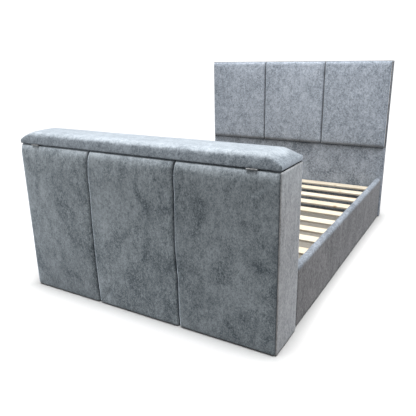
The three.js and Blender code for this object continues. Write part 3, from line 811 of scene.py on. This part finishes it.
def brushed(side, at):
    """Painted shade that darkens a pad by height: at its hem, its middle and its top."""
    hem, middle, top = PAD_SHADE[side]
    share = 2 * (at.z - foot_low.z) / (foot_high.z - foot_low.z)
    darker = hem + (middle - hem) * min(share, 1.0) + (top - middle) * max(share - 1, 0.0)
    return darker * min((foot_high.z - at.z) / ROLL_CLEAR, 1.0)


def foot_painted_shade(side):
    """Painted shade on a foot pad beside its seams: at the corner, under the lid's gap, and by
    height.
    """
    def painted_shade_at(at):
        corner = fading(foot_high.x - at.x, *CORNER_SHADE) * (side == "right")
        return max(corner, fading(foot_high.z - at.z, *GAP_SHADE), brushed(side, at))
    return painted_shade_at


foot_rolls = {"left": (FOOT_OUTER_ROLL, FOOT.seam), "middle": (FOOT.seam, FOOT.seam),
              "right": (FOOT.seam, FOOT_CORNER_ROLL)}
foot_pads = [make_crowned_pad(f"foot_pad_{side}", FOOT, rolls, panel_cloth, seam_wander,
                              foot_painted_shade(side)) for side, rolls in foot_rolls.items()]
print("foot pads:", [(pad.name, len(pad.data.polygons)) for pad in foot_pads])

# %% [markdown]
# ## The flat cloth of the cabinet
# Its sides and the face towards the mattress are cloth over thin wadding, so they are nearly flat.
# They use the same pad body with a few millimetres of height. The front edge of the right side
# stands proud of the corner seam, which draws the dark line there together with painted shade
# along that edge. The top edge of each side is painted darker too, as painted shade under the lid.

# %% Make the side covers
SIDE_CELLS = (26, 84)
SIDE_WAVES = (9, 3.5)
SIDE_LAYER = 4.0
SIDE_RIPPLE = 0.7
SIDE_BULGE = 0.8
SIDE_EDGE = (4, 3.2)
SIDE_EDGE_SHADE = (9 * MM, 0.45)
SIDE_TOP_SHADE = (12 * MM, 0.40)
SIDE_REACH = {"left": -14 * MM, "right": 6 * MM}


def make_side_cover(side, sign):
    """Thin cloth over a side of the cabinet. Its front edge stands before or behind its solid's."""
    name = f"cabinet_side_cover_{side}"
    low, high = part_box(name)
    front = low.y - SIDE_REACH[side]
    depth, height, thick = high.y - front, high.z - low.z, high.x - low.x
    middle_y, middle_z = (front + high.y) / 2, (low.z + high.z) / 2
    inner_x = low.x if sign > 0 else high.x

    def swell(across, up):
        edge = min(depth / 2 - abs(across), height / 2 - abs(up))
        at = Vector((across * SIDE_WAVES[0], up * SIDE_WAVES[1], SIDE_LAYER + sign))
        ripple = noise.noise(at) * SIDE_RIPPLE
        bulge = SIDE_BULGE - SIDE_BULGE * (2 * across / depth) ** 2
        return thick + (ripple + bulge) * MM - sunk(edge, SIDE_EDGE)

    def to_bed(across, up, out):
        return (inner_x + sign * out, middle_y + across, middle_z + up)

    # Painted shade along the front edge and the top edge of the side.
    def painted_shade_at(at):
        return max(fading(at.y - front, *SIDE_EDGE_SHADE), fading(high.z - at.z, *SIDE_TOP_SHADE))

    skin = pad_body(depth, height, SIDE_CELLS, swell)
    piece = sew(name, skin, to_bed, hanging_cloth, painted_shade_at)
    upholster(piece, name, fill=0.35)
    return piece


side_covers = [make_side_cover("left", -1), make_side_cover("right", 1)]
print("side covers:", [cover.name for cover in side_covers])


# %% Make the inner cover
PANEL_WAVES = 4


def make_flat_panel(name, cloth, fill, cells, sign, ripple, edge_roll, painted_shade_at=None):
    """A flat panel that faces the headboard (sign 1) or the foot (-1).

    ripple holds how far its face waves, how far it stands out at rest, how often it waves upwards,
    and the layer of the noise.
    """
    low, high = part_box(name)
    width, height, thick = high.x - low.x, high.z - low.z, high.y - low.y
    middle_x, middle_z = (low.x + high.x) / 2, (low.z + high.z) / 2
    back_y = low.y if sign > 0 else high.y
    size, rest, by_up, layer = ripple

    def swell(across, up):
        edge = min(width / 2 - abs(across), height / 2 - abs(up))
        wave = noise.noise(Vector((across * PANEL_WAVES, up * by_up, layer))) * size
        return thick + (wave + rest) * MM - sunk(edge, edge_roll)

    def to_bed(across, up, out):
        return (middle_x + across, back_y + sign * out, middle_z + up)

    piece = sew(name, pad_body(width, height, cells, swell), to_bed, cloth, painted_shade_at)
    upholster(piece, name, fill)
    return piece


inner_cover = make_flat_panel("cabinet_inner_cover", hanging_cloth, 0.35, (110, 62), 1,
                              ripple=(0.8, 0.4, 4, 9.0), edge_roll=(6, 4))
print("inner cover:", inner_cover.name, len(inner_cover.data.polygons), "faces")

# %% [markdown]
# ## The lid pad
# A thick slab of foam on the lid board. Its front edge stands upright, its shoulder is soft, and
# both ends slope down over a hand's width, so the cloth makes a fold at each lower corner. The wall
# turns in under the lid, and a recess takes the board.

# %% Shape the lid pad
LID_CELLS = (150, 30)
LID_FRONT_SHOULDER = (46 * MM, 3.0)
LID_BACK_SHOULDER = (90 * MM, 2.2)
LID_ENDS = ((92 * MM, 1.35), (76 * MM, 1.4))
LID_DOME = 0.05
LID_WAVES = (4.5, 7)
LID_LAYER = 2.0
LID_RIPPLE = 1.4 * MM
LID_SLACK = 12 * MM
LID_EDGE = 23 * MM
LID_END_EDGES = (16 * MM, 22 * MM)
LID_CORNERS = (14 * MM, 7 * MM)
LID_TAPERS = (4.5 * MM, 2.0 * MM)
lid_low, lid_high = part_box("lid_pad")
board_low, board_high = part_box("lid_board")
LID_WIDTH, LID_DEPTH = lid_high.x - lid_low.x, lid_high.y - lid_low.y
LID_MIDDLE = ((lid_low.x + lid_high.x) / 2, (lid_low.y + lid_high.y) / 2)


def lid_swell(across, up):
    """The lid pad's height over its own underside."""
    reach, power = LID_ENDS[across > 0]
    end = 1 - (1 - min((LID_WIDTH / 2 - abs(across)) / reach, 1.0)) ** power
    front = rise(LID_DEPTH / 2 + up, *LID_FRONT_SHOULDER)
    shoulder = front * rise(LID_DEPTH / 2 - up, *LID_BACK_SHOULDER)
    dome = 1 - LID_DOME + LID_DOME * math.cos(math.pi * up / LID_DEPTH)
    edge = LID_END_EDGES[across > 0]
    edge += (LID_EDGE - edge) * min(2 * end, 1.0)
    crown = lid_high.z - lid_low.z - edge - LID_SLACK
    at = Vector((across * LID_WAVES[0], up * LID_WAVES[1], LID_LAYER))
    ripple = noise.noise(at) * LID_RIPPLE * end * shoulder
    return edge + crown * end * shoulder * dome + ripple


def lid_to_bed(across, up, out):
    """Rounds the lid's corners in plan, more on the left, and draws both front corners in."""
    radius = LID_CORNERS[across > 0]
    past_x = radius - (LID_WIDTH / 2 - abs(across))
    past_y = radius - (LID_DEPTH / 2 - abs(up))
    if past_x > 0 and past_y > 0:
        shrink = 1 - max(past_x, past_y) / math.hypot(past_x, past_y)
        across -= math.copysign(past_x * shrink, across)
        up -= math.copysign(past_y * shrink, up)
    last_tenth = max(0.0, abs(across) / (LID_WIDTH / 2) * 10 - 9)
    drawn_in = LID_TAPERS[across > 0] * last_tenth * (0.5 - up / LID_DEPTH)
    across -= math.copysign(drawn_in, across)
    return (LID_MIDDLE[0] + across, LID_MIDDLE[1] + up, lid_low.z + out)


print("lid:", round(LID_WIDTH, 4), "by", round(LID_DEPTH, 4), "m")

# %% Make the lid pad
LID_CAP, LID_CAP_REACH, LID_CAP_LEAST = 3.5 * MM, 90 * MM, 0.1
LID_STAPLED = 8 * MM
RECESS_CLEAR = 0.3 * MM
rim_in = board_low.x - lid_low.x - RECESS_CLEAR
lid_wall = ((0.0, 2.5 * MM), (1.2 * MM, 0.0), (rim_in, 0.0))
lid_skin = pad_body(LID_WIDTH, LID_DEPTH, LID_CELLS, lid_swell, lid_wall,
                    recess=board_high.z - lid_low.z + RECESS_CLEAR)


def lid_cap(at):
    """The lid's cap grows from both ends inwards."""
    from_end = LID_WIDTH / 2 - abs(at.x - LID_MIDDLE[0])
    return LID_CAP * min(from_end / LID_CAP_REACH + LID_CAP_LEAST, 1.0)


lid_pad = sew("lid_pad", lid_skin, lid_to_bed, lid_cloth)
settle(lid_pad, lambda at: at.z < lid_low.z + LID_STAPLED, lid_cap, pressure=3.5, slack=0.006)
round_over(lid_pad)
upholster(lid_pad, "lid_pad", fill=0.8, body="lid")
print("lid pad:", len(lid_pad.data.polygons), "faces")

# %% [markdown]
# ## Under the lid
# When the lid opens, its underside shows. The cloth is turned over the board's edge, and a black
# lining covers the rest. A row of staples holds the lining. The hinges get their screws here too.

# %% Line the underside of the lid
TURN_WIDTH = 50 * MM
TURN_MARGIN = 1 * MM
TURN_LEVEL, TURN_THICK = 0.27 * MM, 0.24 * MM
LINING_EDGE = 16 * MM
LINING_HINGE_CLEAR = 7 * MM
LINING_LEVEL, LINING_THICK = 0.60 * MM, 0.25 * MM
LINING_WAVES = 14
LINING_WAVE = 0.12 * MM
hinge_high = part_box("hinge_left_lid_leaf")[1]


def flat_sheet(low, high, level, cells):
    """A flat sheet between two corners, at a level below the lid's board."""
    made = bmesh.new()
    bmesh.ops.create_grid(made, x_segments=cells[0], y_segments=cells[1], size=0.5)
    bmesh.ops.scale(made, verts=made.verts, vec=(high[0] - low[0], high[1] - low[1], 1))
    middle = ((low[0] + high[0]) / 2, (low[1] + high[1]) / 2, board_low.z - level)
    bmesh.ops.translate(made, verts=made.verts, vec=middle)
    return made


def thicken(made, thickness):
    """Extrudes a sheet upwards by its thickness and closes it."""
    grown = bmesh.ops.extrude_face_region(made, geom=made.faces[:])["geom"]
    raised = [part for part in grown if isinstance(part, bmesh.types.BMVert)]
    bmesh.ops.translate(made, verts=raised, vec=(0, 0, thickness))
    bmesh.ops.recalc_face_normals(made, faces=made.faces)


ring = flat_sheet((board_low.x + TURN_MARGIN, board_low.y + TURN_MARGIN),
                  (board_high.x - TURN_MARGIN, board_high.y - TURN_MARGIN), TURN_LEVEL, (1, 1))
bmesh.ops.inset_individual(ring, faces=ring.faces[:], thickness=TURN_WIDTH, use_even_offset=True)
inside = max(ring.faces, key=lambda face: face.calc_area())
bmesh.ops.delete(ring, geom=[inside], context="FACES")
bmesh.ops.subdivide_edges(ring, edges=ring.edges[:], cuts=9, use_grid_fill=True)
thicken(ring, TURN_THICK)
turned_cloth = finish_piece("lid_turned_cloth", ring, panel_cloth)
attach(turned_cloth, "lid")

lining_low = (board_low.x + LINING_EDGE, hinge_high.y + LINING_HINGE_CLEAR)
lining_high = (board_high.x - LINING_EDGE, board_high.y - LINING_EDGE)
lining_sheet = flat_sheet(lining_low, lining_high, LINING_LEVEL, (90, 14))
for point in lining_sheet.verts:
    point.co.z += noise.noise(point.co * LINING_WAVES) * LINING_WAVE
thicken(lining_sheet, LINING_THICK)
lining = finish_piece("lid_lining", lining_sheet, lining_felt)
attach(lining, "lid")
print("under the lid:", turned_cloth.name, lining.name)

# %% Staple the lining
STAPLE = (9.0 * MM, 1.3 * MM, 0.35 * MM)
STAPLE_LEVEL = 0.88 * MM
STAPLE_INSET = 6 * MM
STAPLE_ROUND = 0.12 * MM
STAPLE_START, STAPLE_PITCH, STAPLE_STAGGER = 14 * MM, 62 * MM, 21 * MM
STAGGER_STOPS = 40 * MM
END_STAPLES, END_PITCH = 3, 0.85 * STAPLE_PITCH
staples = bmesh.new()


def add_staple(x, y, turned):
    """One flat staple on the lining's edge."""
    leg = bmesh.ops.create_cube(staples, size=1.0)["verts"]
    size = (STAPLE[1], STAPLE[0], STAPLE[2]) if turned else STAPLE
    bmesh.ops.scale(staples, verts=leg, vec=size)
    bmesh.ops.translate(staples, verts=leg, vec=(x, y, board_low.z - STAPLE_LEVEL))


for n in range(int((lining_high[0] - lining_low[0]) / STAPLE_PITCH) + 1):
    along = lining_low[0] + STAPLE_START + n * STAPLE_PITCH
    stagger = STAPLE_STAGGER * (along < lining_high[0] - STAGGER_STOPS)
    add_staple(along, lining_low[1] + STAPLE_INSET, False)
    add_staple(along + stagger, lining_high[1] - STAPLE_INSET, False)
for n in range(END_STAPLES):
    for edge_x in (lining_low[0] + STAPLE_INSET, lining_high[0] - STAPLE_INSET):
        add_staple(edge_x, lining_low[1] + (n + 0.8) * END_PITCH, True)
bmesh.ops.bevel(staples, geom=staples.edges[:], affect="EDGES", offset=STAPLE_ROUND, segments=2,
                profile=0.5, material=-1)
staple_row = finish_piece("lid_lining_staples", staples, bright_steel, smooth=False)
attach(staple_row, "lid")
print("staples:", staple_row.name, len(staple_row.data.polygons), "faces")

# %% Put the screws in the hinges
SCREW_RADIUS = 3.3 * MM
SCREW_TAPER = 0.82
SCREW_HEAD = 0.45 * MM
SCREW_RECESS = (1.3 * MM, -0.25 * MM)
SCREW_SPREAD = 16 * MM
SCREW_FROM_END = 11 * MM
BODY_LEAF_TOP = 835.8 * MM
LID_LEAF_UNDER = 837.2 * MM


def make_hinge_screws(name, seat, facing, body):
    """Pan heads with a round recess on one leaf of both hinges. facing is 1 up or -1 down."""
    heads = bmesh.new()
    for node in ("hinge_left_lid_leaf", "hinge_right_lid_leaf"):
        low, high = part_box(node)
        for spread in (-SCREW_SPREAD, SCREW_SPREAD):
            head = bmesh.ops.create_cone(
                heads, cap_ends=True, segments=20, radius1=SCREW_RADIUS,
                radius2=SCREW_TAPER * SCREW_RADIUS, depth=SCREW_HEAD)["verts"]
            bmesh.ops.scale(heads, verts=head, vec=(1, 1, facing))
            middle = ((low.x + high.x) / 2 + spread, high.y - SCREW_FROM_END,
                      seat + facing * SCREW_HEAD / 2)
            bmesh.ops.translate(heads, verts=head, vec=middle)
    caps = [face for face in heads.faces if len(face.verts) > 4
            and (face.calc_center_median().z - seat) * facing > SCREW_HEAD / 2]
    bmesh.ops.inset_individual(heads, faces=caps, thickness=SCREW_RECESS[0], depth=SCREW_RECESS[1])
    bmesh.ops.recalc_face_normals(heads, faces=heads.faces)
    screws = finish_piece(name, heads, zinc_steel, smooth=False)
    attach(screws, body)
    return screws


hinge_screws = [make_hinge_screws("hinge_screws_body", BODY_LEAF_TOP, 1, "bed_frame"),
                make_hinge_screws("hinge_screws_lid", LID_LEAF_UNDER, -1, "lid")]
print("hinge screws:", [screws.name for screws in hinge_screws])

# %% [markdown]
# ## The side rails
# Each rail is a board with a hood of cloth: long outside, short inside, soft on top. The hood's
# section is drawn with four points and rounded by a bevel. It is extruded along the rail in short
# steps, so its top can wave a little, and then it is given its thickness inwards. Beside the
# cabinet the outside is tucked in towards the board.

# %% Draw the rail's hood
RAIL_STEPS = 82
RAIL_FINE_STEPS, RAIL_FINE = 12, 4 * MM
RAIL_TOP_ROUND = 17 * MM
RAIL_INSIDE = 88 * MM
RAIL_CUTS = 14


def rail_hood(low, high, outer, inner):
    """The section of a hood, extruded along the rail in steps that start short."""
    hood = bmesh.new()
    section = [(outer, low.z), (outer, high.z), (inner, high.z), (inner, high.z - RAIL_INSIDE)]
    points = [hood.verts.new((x, low.y, z)) for x, z in section]
    for pair in zip(points, points[1:]):
        hood.edges.new(pair)
    bmesh.ops.bevel(hood, geom=points[1:3], affect="VERTICES", offset=RAIL_TOP_ROUND, segments=5,
                    profile=0.5, material=-1)
    outside = max(hood.edges, key=lambda edge: edge.calc_length())
    bmesh.ops.subdivide_edges(hood, edges=[outside], cuts=RAIL_CUTS)
    left_over = high.y - low.y - RAIL_FINE * RAIL_FINE_STEPS
    line = list(hood.edges)
    for step in range(RAIL_STEPS):
        line, moved = grow_rim(hood, line)
        long_step = left_over / (RAIL_STEPS - RAIL_FINE_STEPS)
        stride = RAIL_FINE if step < RAIL_FINE_STEPS else long_step
        bmesh.ops.translate(hood, verts=moved, vec=(0, stride, 0))
    return hood


print("rail steps:", RAIL_STEPS)

# %% Make the rail covers
RAIL_CLOTH = 7 * MM
RAIL_WAVES = (2, 4.2, 4)
RAIL_TOP_WAVE = (1.6, -0.6)
RAIL_TOP_DEEP = 60 * MM
RAIL_OUTSIDE_WAVE = (1.1, -0.4)
RAIL_OUTSIDE_SHIFT = Vector((5, 3, 1))
RAIL_UNDER_TOP = 0.1
TUCK_START, TUCK_REACH, TUCK_DEPTH = 26 * MM, 12 * MM, 7 * MM
BOARD_CLEAR = 0.3 * MM


def make_rail_cover(side, sign):
    """The hood of cloth over one side rail."""
    name = f"side_rail_cover_{side}"
    low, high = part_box(name)
    outer, inner = (high.x, low.x) if sign > 0 else (low.x, high.x)
    hood = rail_hood(low, high, outer, inner)
    for point in hood.verts:
        x, y, z = [way * waves for way, waves in zip(point.co, RAIL_WAVES)]
        at = Vector((x, y, z + sign))
        top = max(0.0, 1 - (high.z - point.co.z) / RAIL_TOP_DEEP)
        point.co.z += (noise.noise(at) * RAIL_TOP_WAVE[0] + RAIL_TOP_WAVE[1]) * MM * top
        if abs(point.co.x - outer) < RAIL_TOP_ROUND:
            tuck = TUCK_DEPTH * (1 - rise(point.co.y - low.y - TUCK_START, TUCK_REACH))
            size, rest = RAIL_OUTSIDE_WAVE
            wave = (noise.noise(at + RAIL_OUTSIDE_SHIFT) * size + rest) * MM
            point.co.x += sign * (wave - tuck)
    bmesh.ops.recalc_face_normals(hood, faces=hood.faces)
    outwards = sum(face.normal.x * sign for face in hood.faces
                   if face.calc_center_median().z < high.z - RAIL_UNDER_TOP)
    if outwards < 0:
        bmesh.ops.reverse_faces(hood, faces=hood.faces)
    bmesh.ops.solidify(hood, geom=list(hood.faces), thickness=RAIL_CLOTH)
    bmesh.ops.recalc_face_normals(hood, faces=hood.faces)
    board_face = abs(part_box(name.replace("cover", "board"))[sign > 0].x) + BOARD_CLEAR
    for point in hood.verts:
        is_outside = (abs(outer) - abs(point.co.x) < RAIL_TOP_ROUND
                      and point.co.z < high.z - RAIL_TOP_ROUND)
        if is_outside and abs(point.co.x) < board_face:
            point.co.x = sign * board_face
    piece = finish_piece(f"{name}_cloth", hood, rail_cloth)
    round_over(piece)
    upholster(piece, name, fill=0.4)
    return piece


rail_covers = [make_rail_cover("left", -1), make_rail_cover("right", 1)]
print("rail covers:", [(cover.name, len(cover.data.polygons)) for cover in rail_covers])

# %% [markdown]
# ## The headboard
# Three crowned pads sit over one flat panel, and a thin cover closes the sides, the top and the
# back. The pads' lower edge overhangs the flat panel, so a shadow runs under it. That shade is also
# painted: the pads' hems, their seams and the flat panel's top are painted darker.

# %% Make the headboard pads
HEAD = SimpleNamespace(
    crown=32.5, dome=2.0, ripple=(1.2, 7, 7.3), lowest=4.0, cells=(52, 66), fill=0.7,
    top=(30, 19), hem=(22, 15), seam=(19, 18), slot=(7, 13), wall=8 * MM,
    press_left=(6 * MM, 0.6), press_right=(11 * MM, 0.80),
    stapled_edge=3.0 * MM, stapled_wall=9 * MM, cap=3 * MM, cap_reach=90 * MM)
HEAD_END_ROLL = (15, 13)
HEAD_HEM_SHADE = (34 * MM, 0.68)
LOWER_TOP_SHADE = (52 * MM, 0.42)
head_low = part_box("headboard_pad_left")[0]
lower_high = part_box("headboard_lower_pad")[1]


def straight(x, z):
    """The seams of the headboard don't wander."""
    return 0.0


def hem_painted_shade(at):
    """Painted shade at the hems of the headboard's pads, fading upwards."""
    reach, strength = HEAD_HEM_SHADE
    return max(strength * (1 - (at.z - head_low.z) / reach), 0.0)


head_rolls = {"left": (HEAD_END_ROLL, HEAD.seam), "middle": (HEAD.seam, HEAD.seam),
              "right": (HEAD.seam, HEAD_END_ROLL)}
head_pads = [make_crowned_pad(f"headboard_pad_{side}", HEAD, rolls, head_cloth, straight,
                              hem_painted_shade) for side, rolls in head_rolls.items()]
# The flat panel's top gets painted shade under the pads' overhang.
lower_panel = make_flat_panel("headboard_lower_pad", low_cloth, 0.4, (112, 46), -1,
                              ripple=(1.1, -0.6, 5, 3.1), edge_roll=(12, 5),
                              painted_shade_at=lambda at: fading(lower_high.z - at.z, *LOWER_TOP_SHADE))
print("headboard pads:", [pad.name for pad in head_pads], lower_panel.name)

# %% Make the headboard's cover
COVER_THICK = 5.5 * MM
COVER_ROUND = 4 * MM
COVER_CUTS = ((0, 40), (2, 34))
cover_low, cover_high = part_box("headboard_cover")
shell = bmesh.new()
bmesh.ops.create_cube(shell, size=1.0)
bmesh.ops.scale(shell, verts=shell.verts, vec=cover_high - cover_low)
bmesh.ops.translate(shell, verts=shell.verts, vec=(cover_low + cover_high) / 2)
open_faces = [face for face in shell.faces if face.normal.y < -0.5 or face.normal.z < -0.5]
bmesh.ops.delete(shell, geom=open_faces, context="FACES")
turned_edges = [edge for edge in shell.edges if not edge.is_boundary]
bmesh.ops.bevel(shell, geom=turned_edges, affect="EDGES", offset=COVER_ROUND, segments=3,
                profile=0.5, material=-1)
for axis, steps in COVER_CUTS:
    for step in range(1, steps):
        place = cover_low.lerp(cover_high, step / steps)
        normal = Vector([1.0 if n == axis else 0.0 for n in range(3)])
        bmesh.ops.bisect_plane(shell, geom=shell.verts[:] + shell.edges[:] + shell.faces[:],
                               plane_co=place, plane_no=normal)
bmesh.ops.recalc_face_normals(shell, faces=shell.faces)
if sum(face.normal.y * face.calc_area() for face in shell.faces) < 0:
    bmesh.ops.reverse_faces(shell, faces=shell.faces)
bmesh.ops.solidify(shell, geom=list(shell.faces), thickness=COVER_THICK)
bmesh.ops.recalc_face_normals(shell, faces=shell.faces)
head_cover = finish_piece("headboard_cover_cloth", shell, cover_cloth)
upholster(head_cover, "headboard_cover", fill=0.3)
print("headboard cover:", len(head_cover.data.polygons), "faces")

# %% [markdown]
# The cover's cloth is turned over the board's front edges and stapled behind the pads. A narrow rim
# of it shows beside and above them.

# %% Turn the cover over the board's edges
RIM_THICK = 2.2 * MM
RIM_CLEAR = 0.3 * MM
RIM_ROUND = 0.8 * MM
rim_side = cover_high.x - RIM_CLEAR
rim_top = cover_high.z - RIM_CLEAR
rim_middle_y = cover_low.y - RIM_CLEAR - RIM_THICK / 2
pad_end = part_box("headboard_pad_right")[1] + Vector((RIM_CLEAR, 0, RIM_CLEAR))
rim = bmesh.new()
for left, right, bottom in ((-rim_side, -pad_end.x, head_low.z), (pad_end.x, rim_side, head_low.z),
                            (-pad_end.x, pad_end.x, pad_end.z)):
    strip = bmesh.ops.create_cube(rim, size=1.0)["verts"]
    bmesh.ops.scale(rim, verts=strip, vec=(right - left, RIM_THICK, rim_top - bottom))
    middle = ((left + right) / 2, rim_middle_y, (bottom + rim_top) / 2)
    bmesh.ops.translate(rim, verts=strip, vec=middle)
bmesh.ops.bevel(rim, geom=rim.edges[:], affect="EDGES", offset=RIM_ROUND, segments=2, profile=0.5,
                material=-1)
rim_cloth = finish_piece("headboard_turned_cloth", rim, cover_cloth)
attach(rim_cloth, "bed_frame")
print("headboard rim:", len(rim_cloth.data.polygons), "faces")

# %% [markdown]
# ## The floor
# A plain pale floor under the bed, which isn't part of the bed. Round the bed the floor is painted
# a little darker as a painted contact shadow, and in its bay as painted shade under the slats. Only
# the eye sees the pale floor: the light that falls back on the bed comes from a greyer one, so the
# cloth isn't lit too strongly from below.

# %% Lay the floor
FLOOR_HALF = 30
FLOOR_TONES = [(0.3, (0.474, 0.466, 0.460)), (0.7, (0.486, 0.478, 0.472))]
FLOOR_BOUNCE = (0.26, 0.26, 0.26, 1)
BAY_SHADE_TONE = (0.22, 0.205, 0.18, 1)
BAY_MIDDLE_Y = 0.13
BAY_REACH = (0.60, 0.90)
BAY_FADE = 0.08
CONTACT_SHADOW_TONE = (0.352, 0.350, 0.345, 1)
CONTACT_SHADOW_REACH = 0.105
CONTACT_SHADOW_WIDENING = (1.03, -0.20)

paint = Finish("pale_floor", {"Roughness": 0.9, "Specular IOR Level": 0.1})
spot = paint.place()
x, y = paint.axis(spot, "X"), paint.axis(spot, "Y")
along = y - BAY_MIDDLE_Y
off_side = paint.between((x ** 2) ** 0.5, BAY_REACH[0], BAY_REACH[0] + BAY_FADE)
off_end = paint.between((along ** 2) ** 0.5, BAY_REACH[1], BAY_REACH[1] + BAY_FADE)
past_side = ((x ** 2) ** 0.5 - cad_bounds[1][0]).apply("MAXIMUM", 0.0)
past_end = ((y ** 2) ** 0.5 - cad_bounds[1][1]).apply("MAXIMUM", 0.0)
widening = (along * CONTACT_SHADOW_WIDENING[1] + CONTACT_SHADOW_WIDENING[0]).apply("MAXIMUM", 0.8)
away = (past_side * past_side + past_end * past_end) ** 0.5 * widening
open_floor = paint.ramp(paint.cloud(spot, 60.0, detail=3.0), FLOOR_TONES)
# Painted contact shadow round the bed, and painted shade in its bay.
clear = paint.between(away, -0.4 * CONTACT_SHADOW_REACH, CONTACT_SHADOW_REACH)
seen_floor = paint.mix(off_side.apply("MAXIMUM", off_end), BAY_SHADE_TONE,
                       paint.mix(clear, CONTACT_SHADOW_TONE, open_floor))
for_eye = paint.node("ShaderNodeLightPath")
paint.feed("Base Color", paint.mix(for_eye, FLOOR_BOUNCE, seen_floor))

slab = bmesh.new()
bmesh.ops.create_grid(slab, x_segments=1, y_segments=1, size=FLOOR_HALF)
bmesh.ops.translate(slab, verts=slab.verts, vec=(0, 0, -0.5 * MM))
floor = finish_piece("studio_floor", slab, paint.material)
print("floor half width:", FLOOR_HALF)

# %% [markdown]
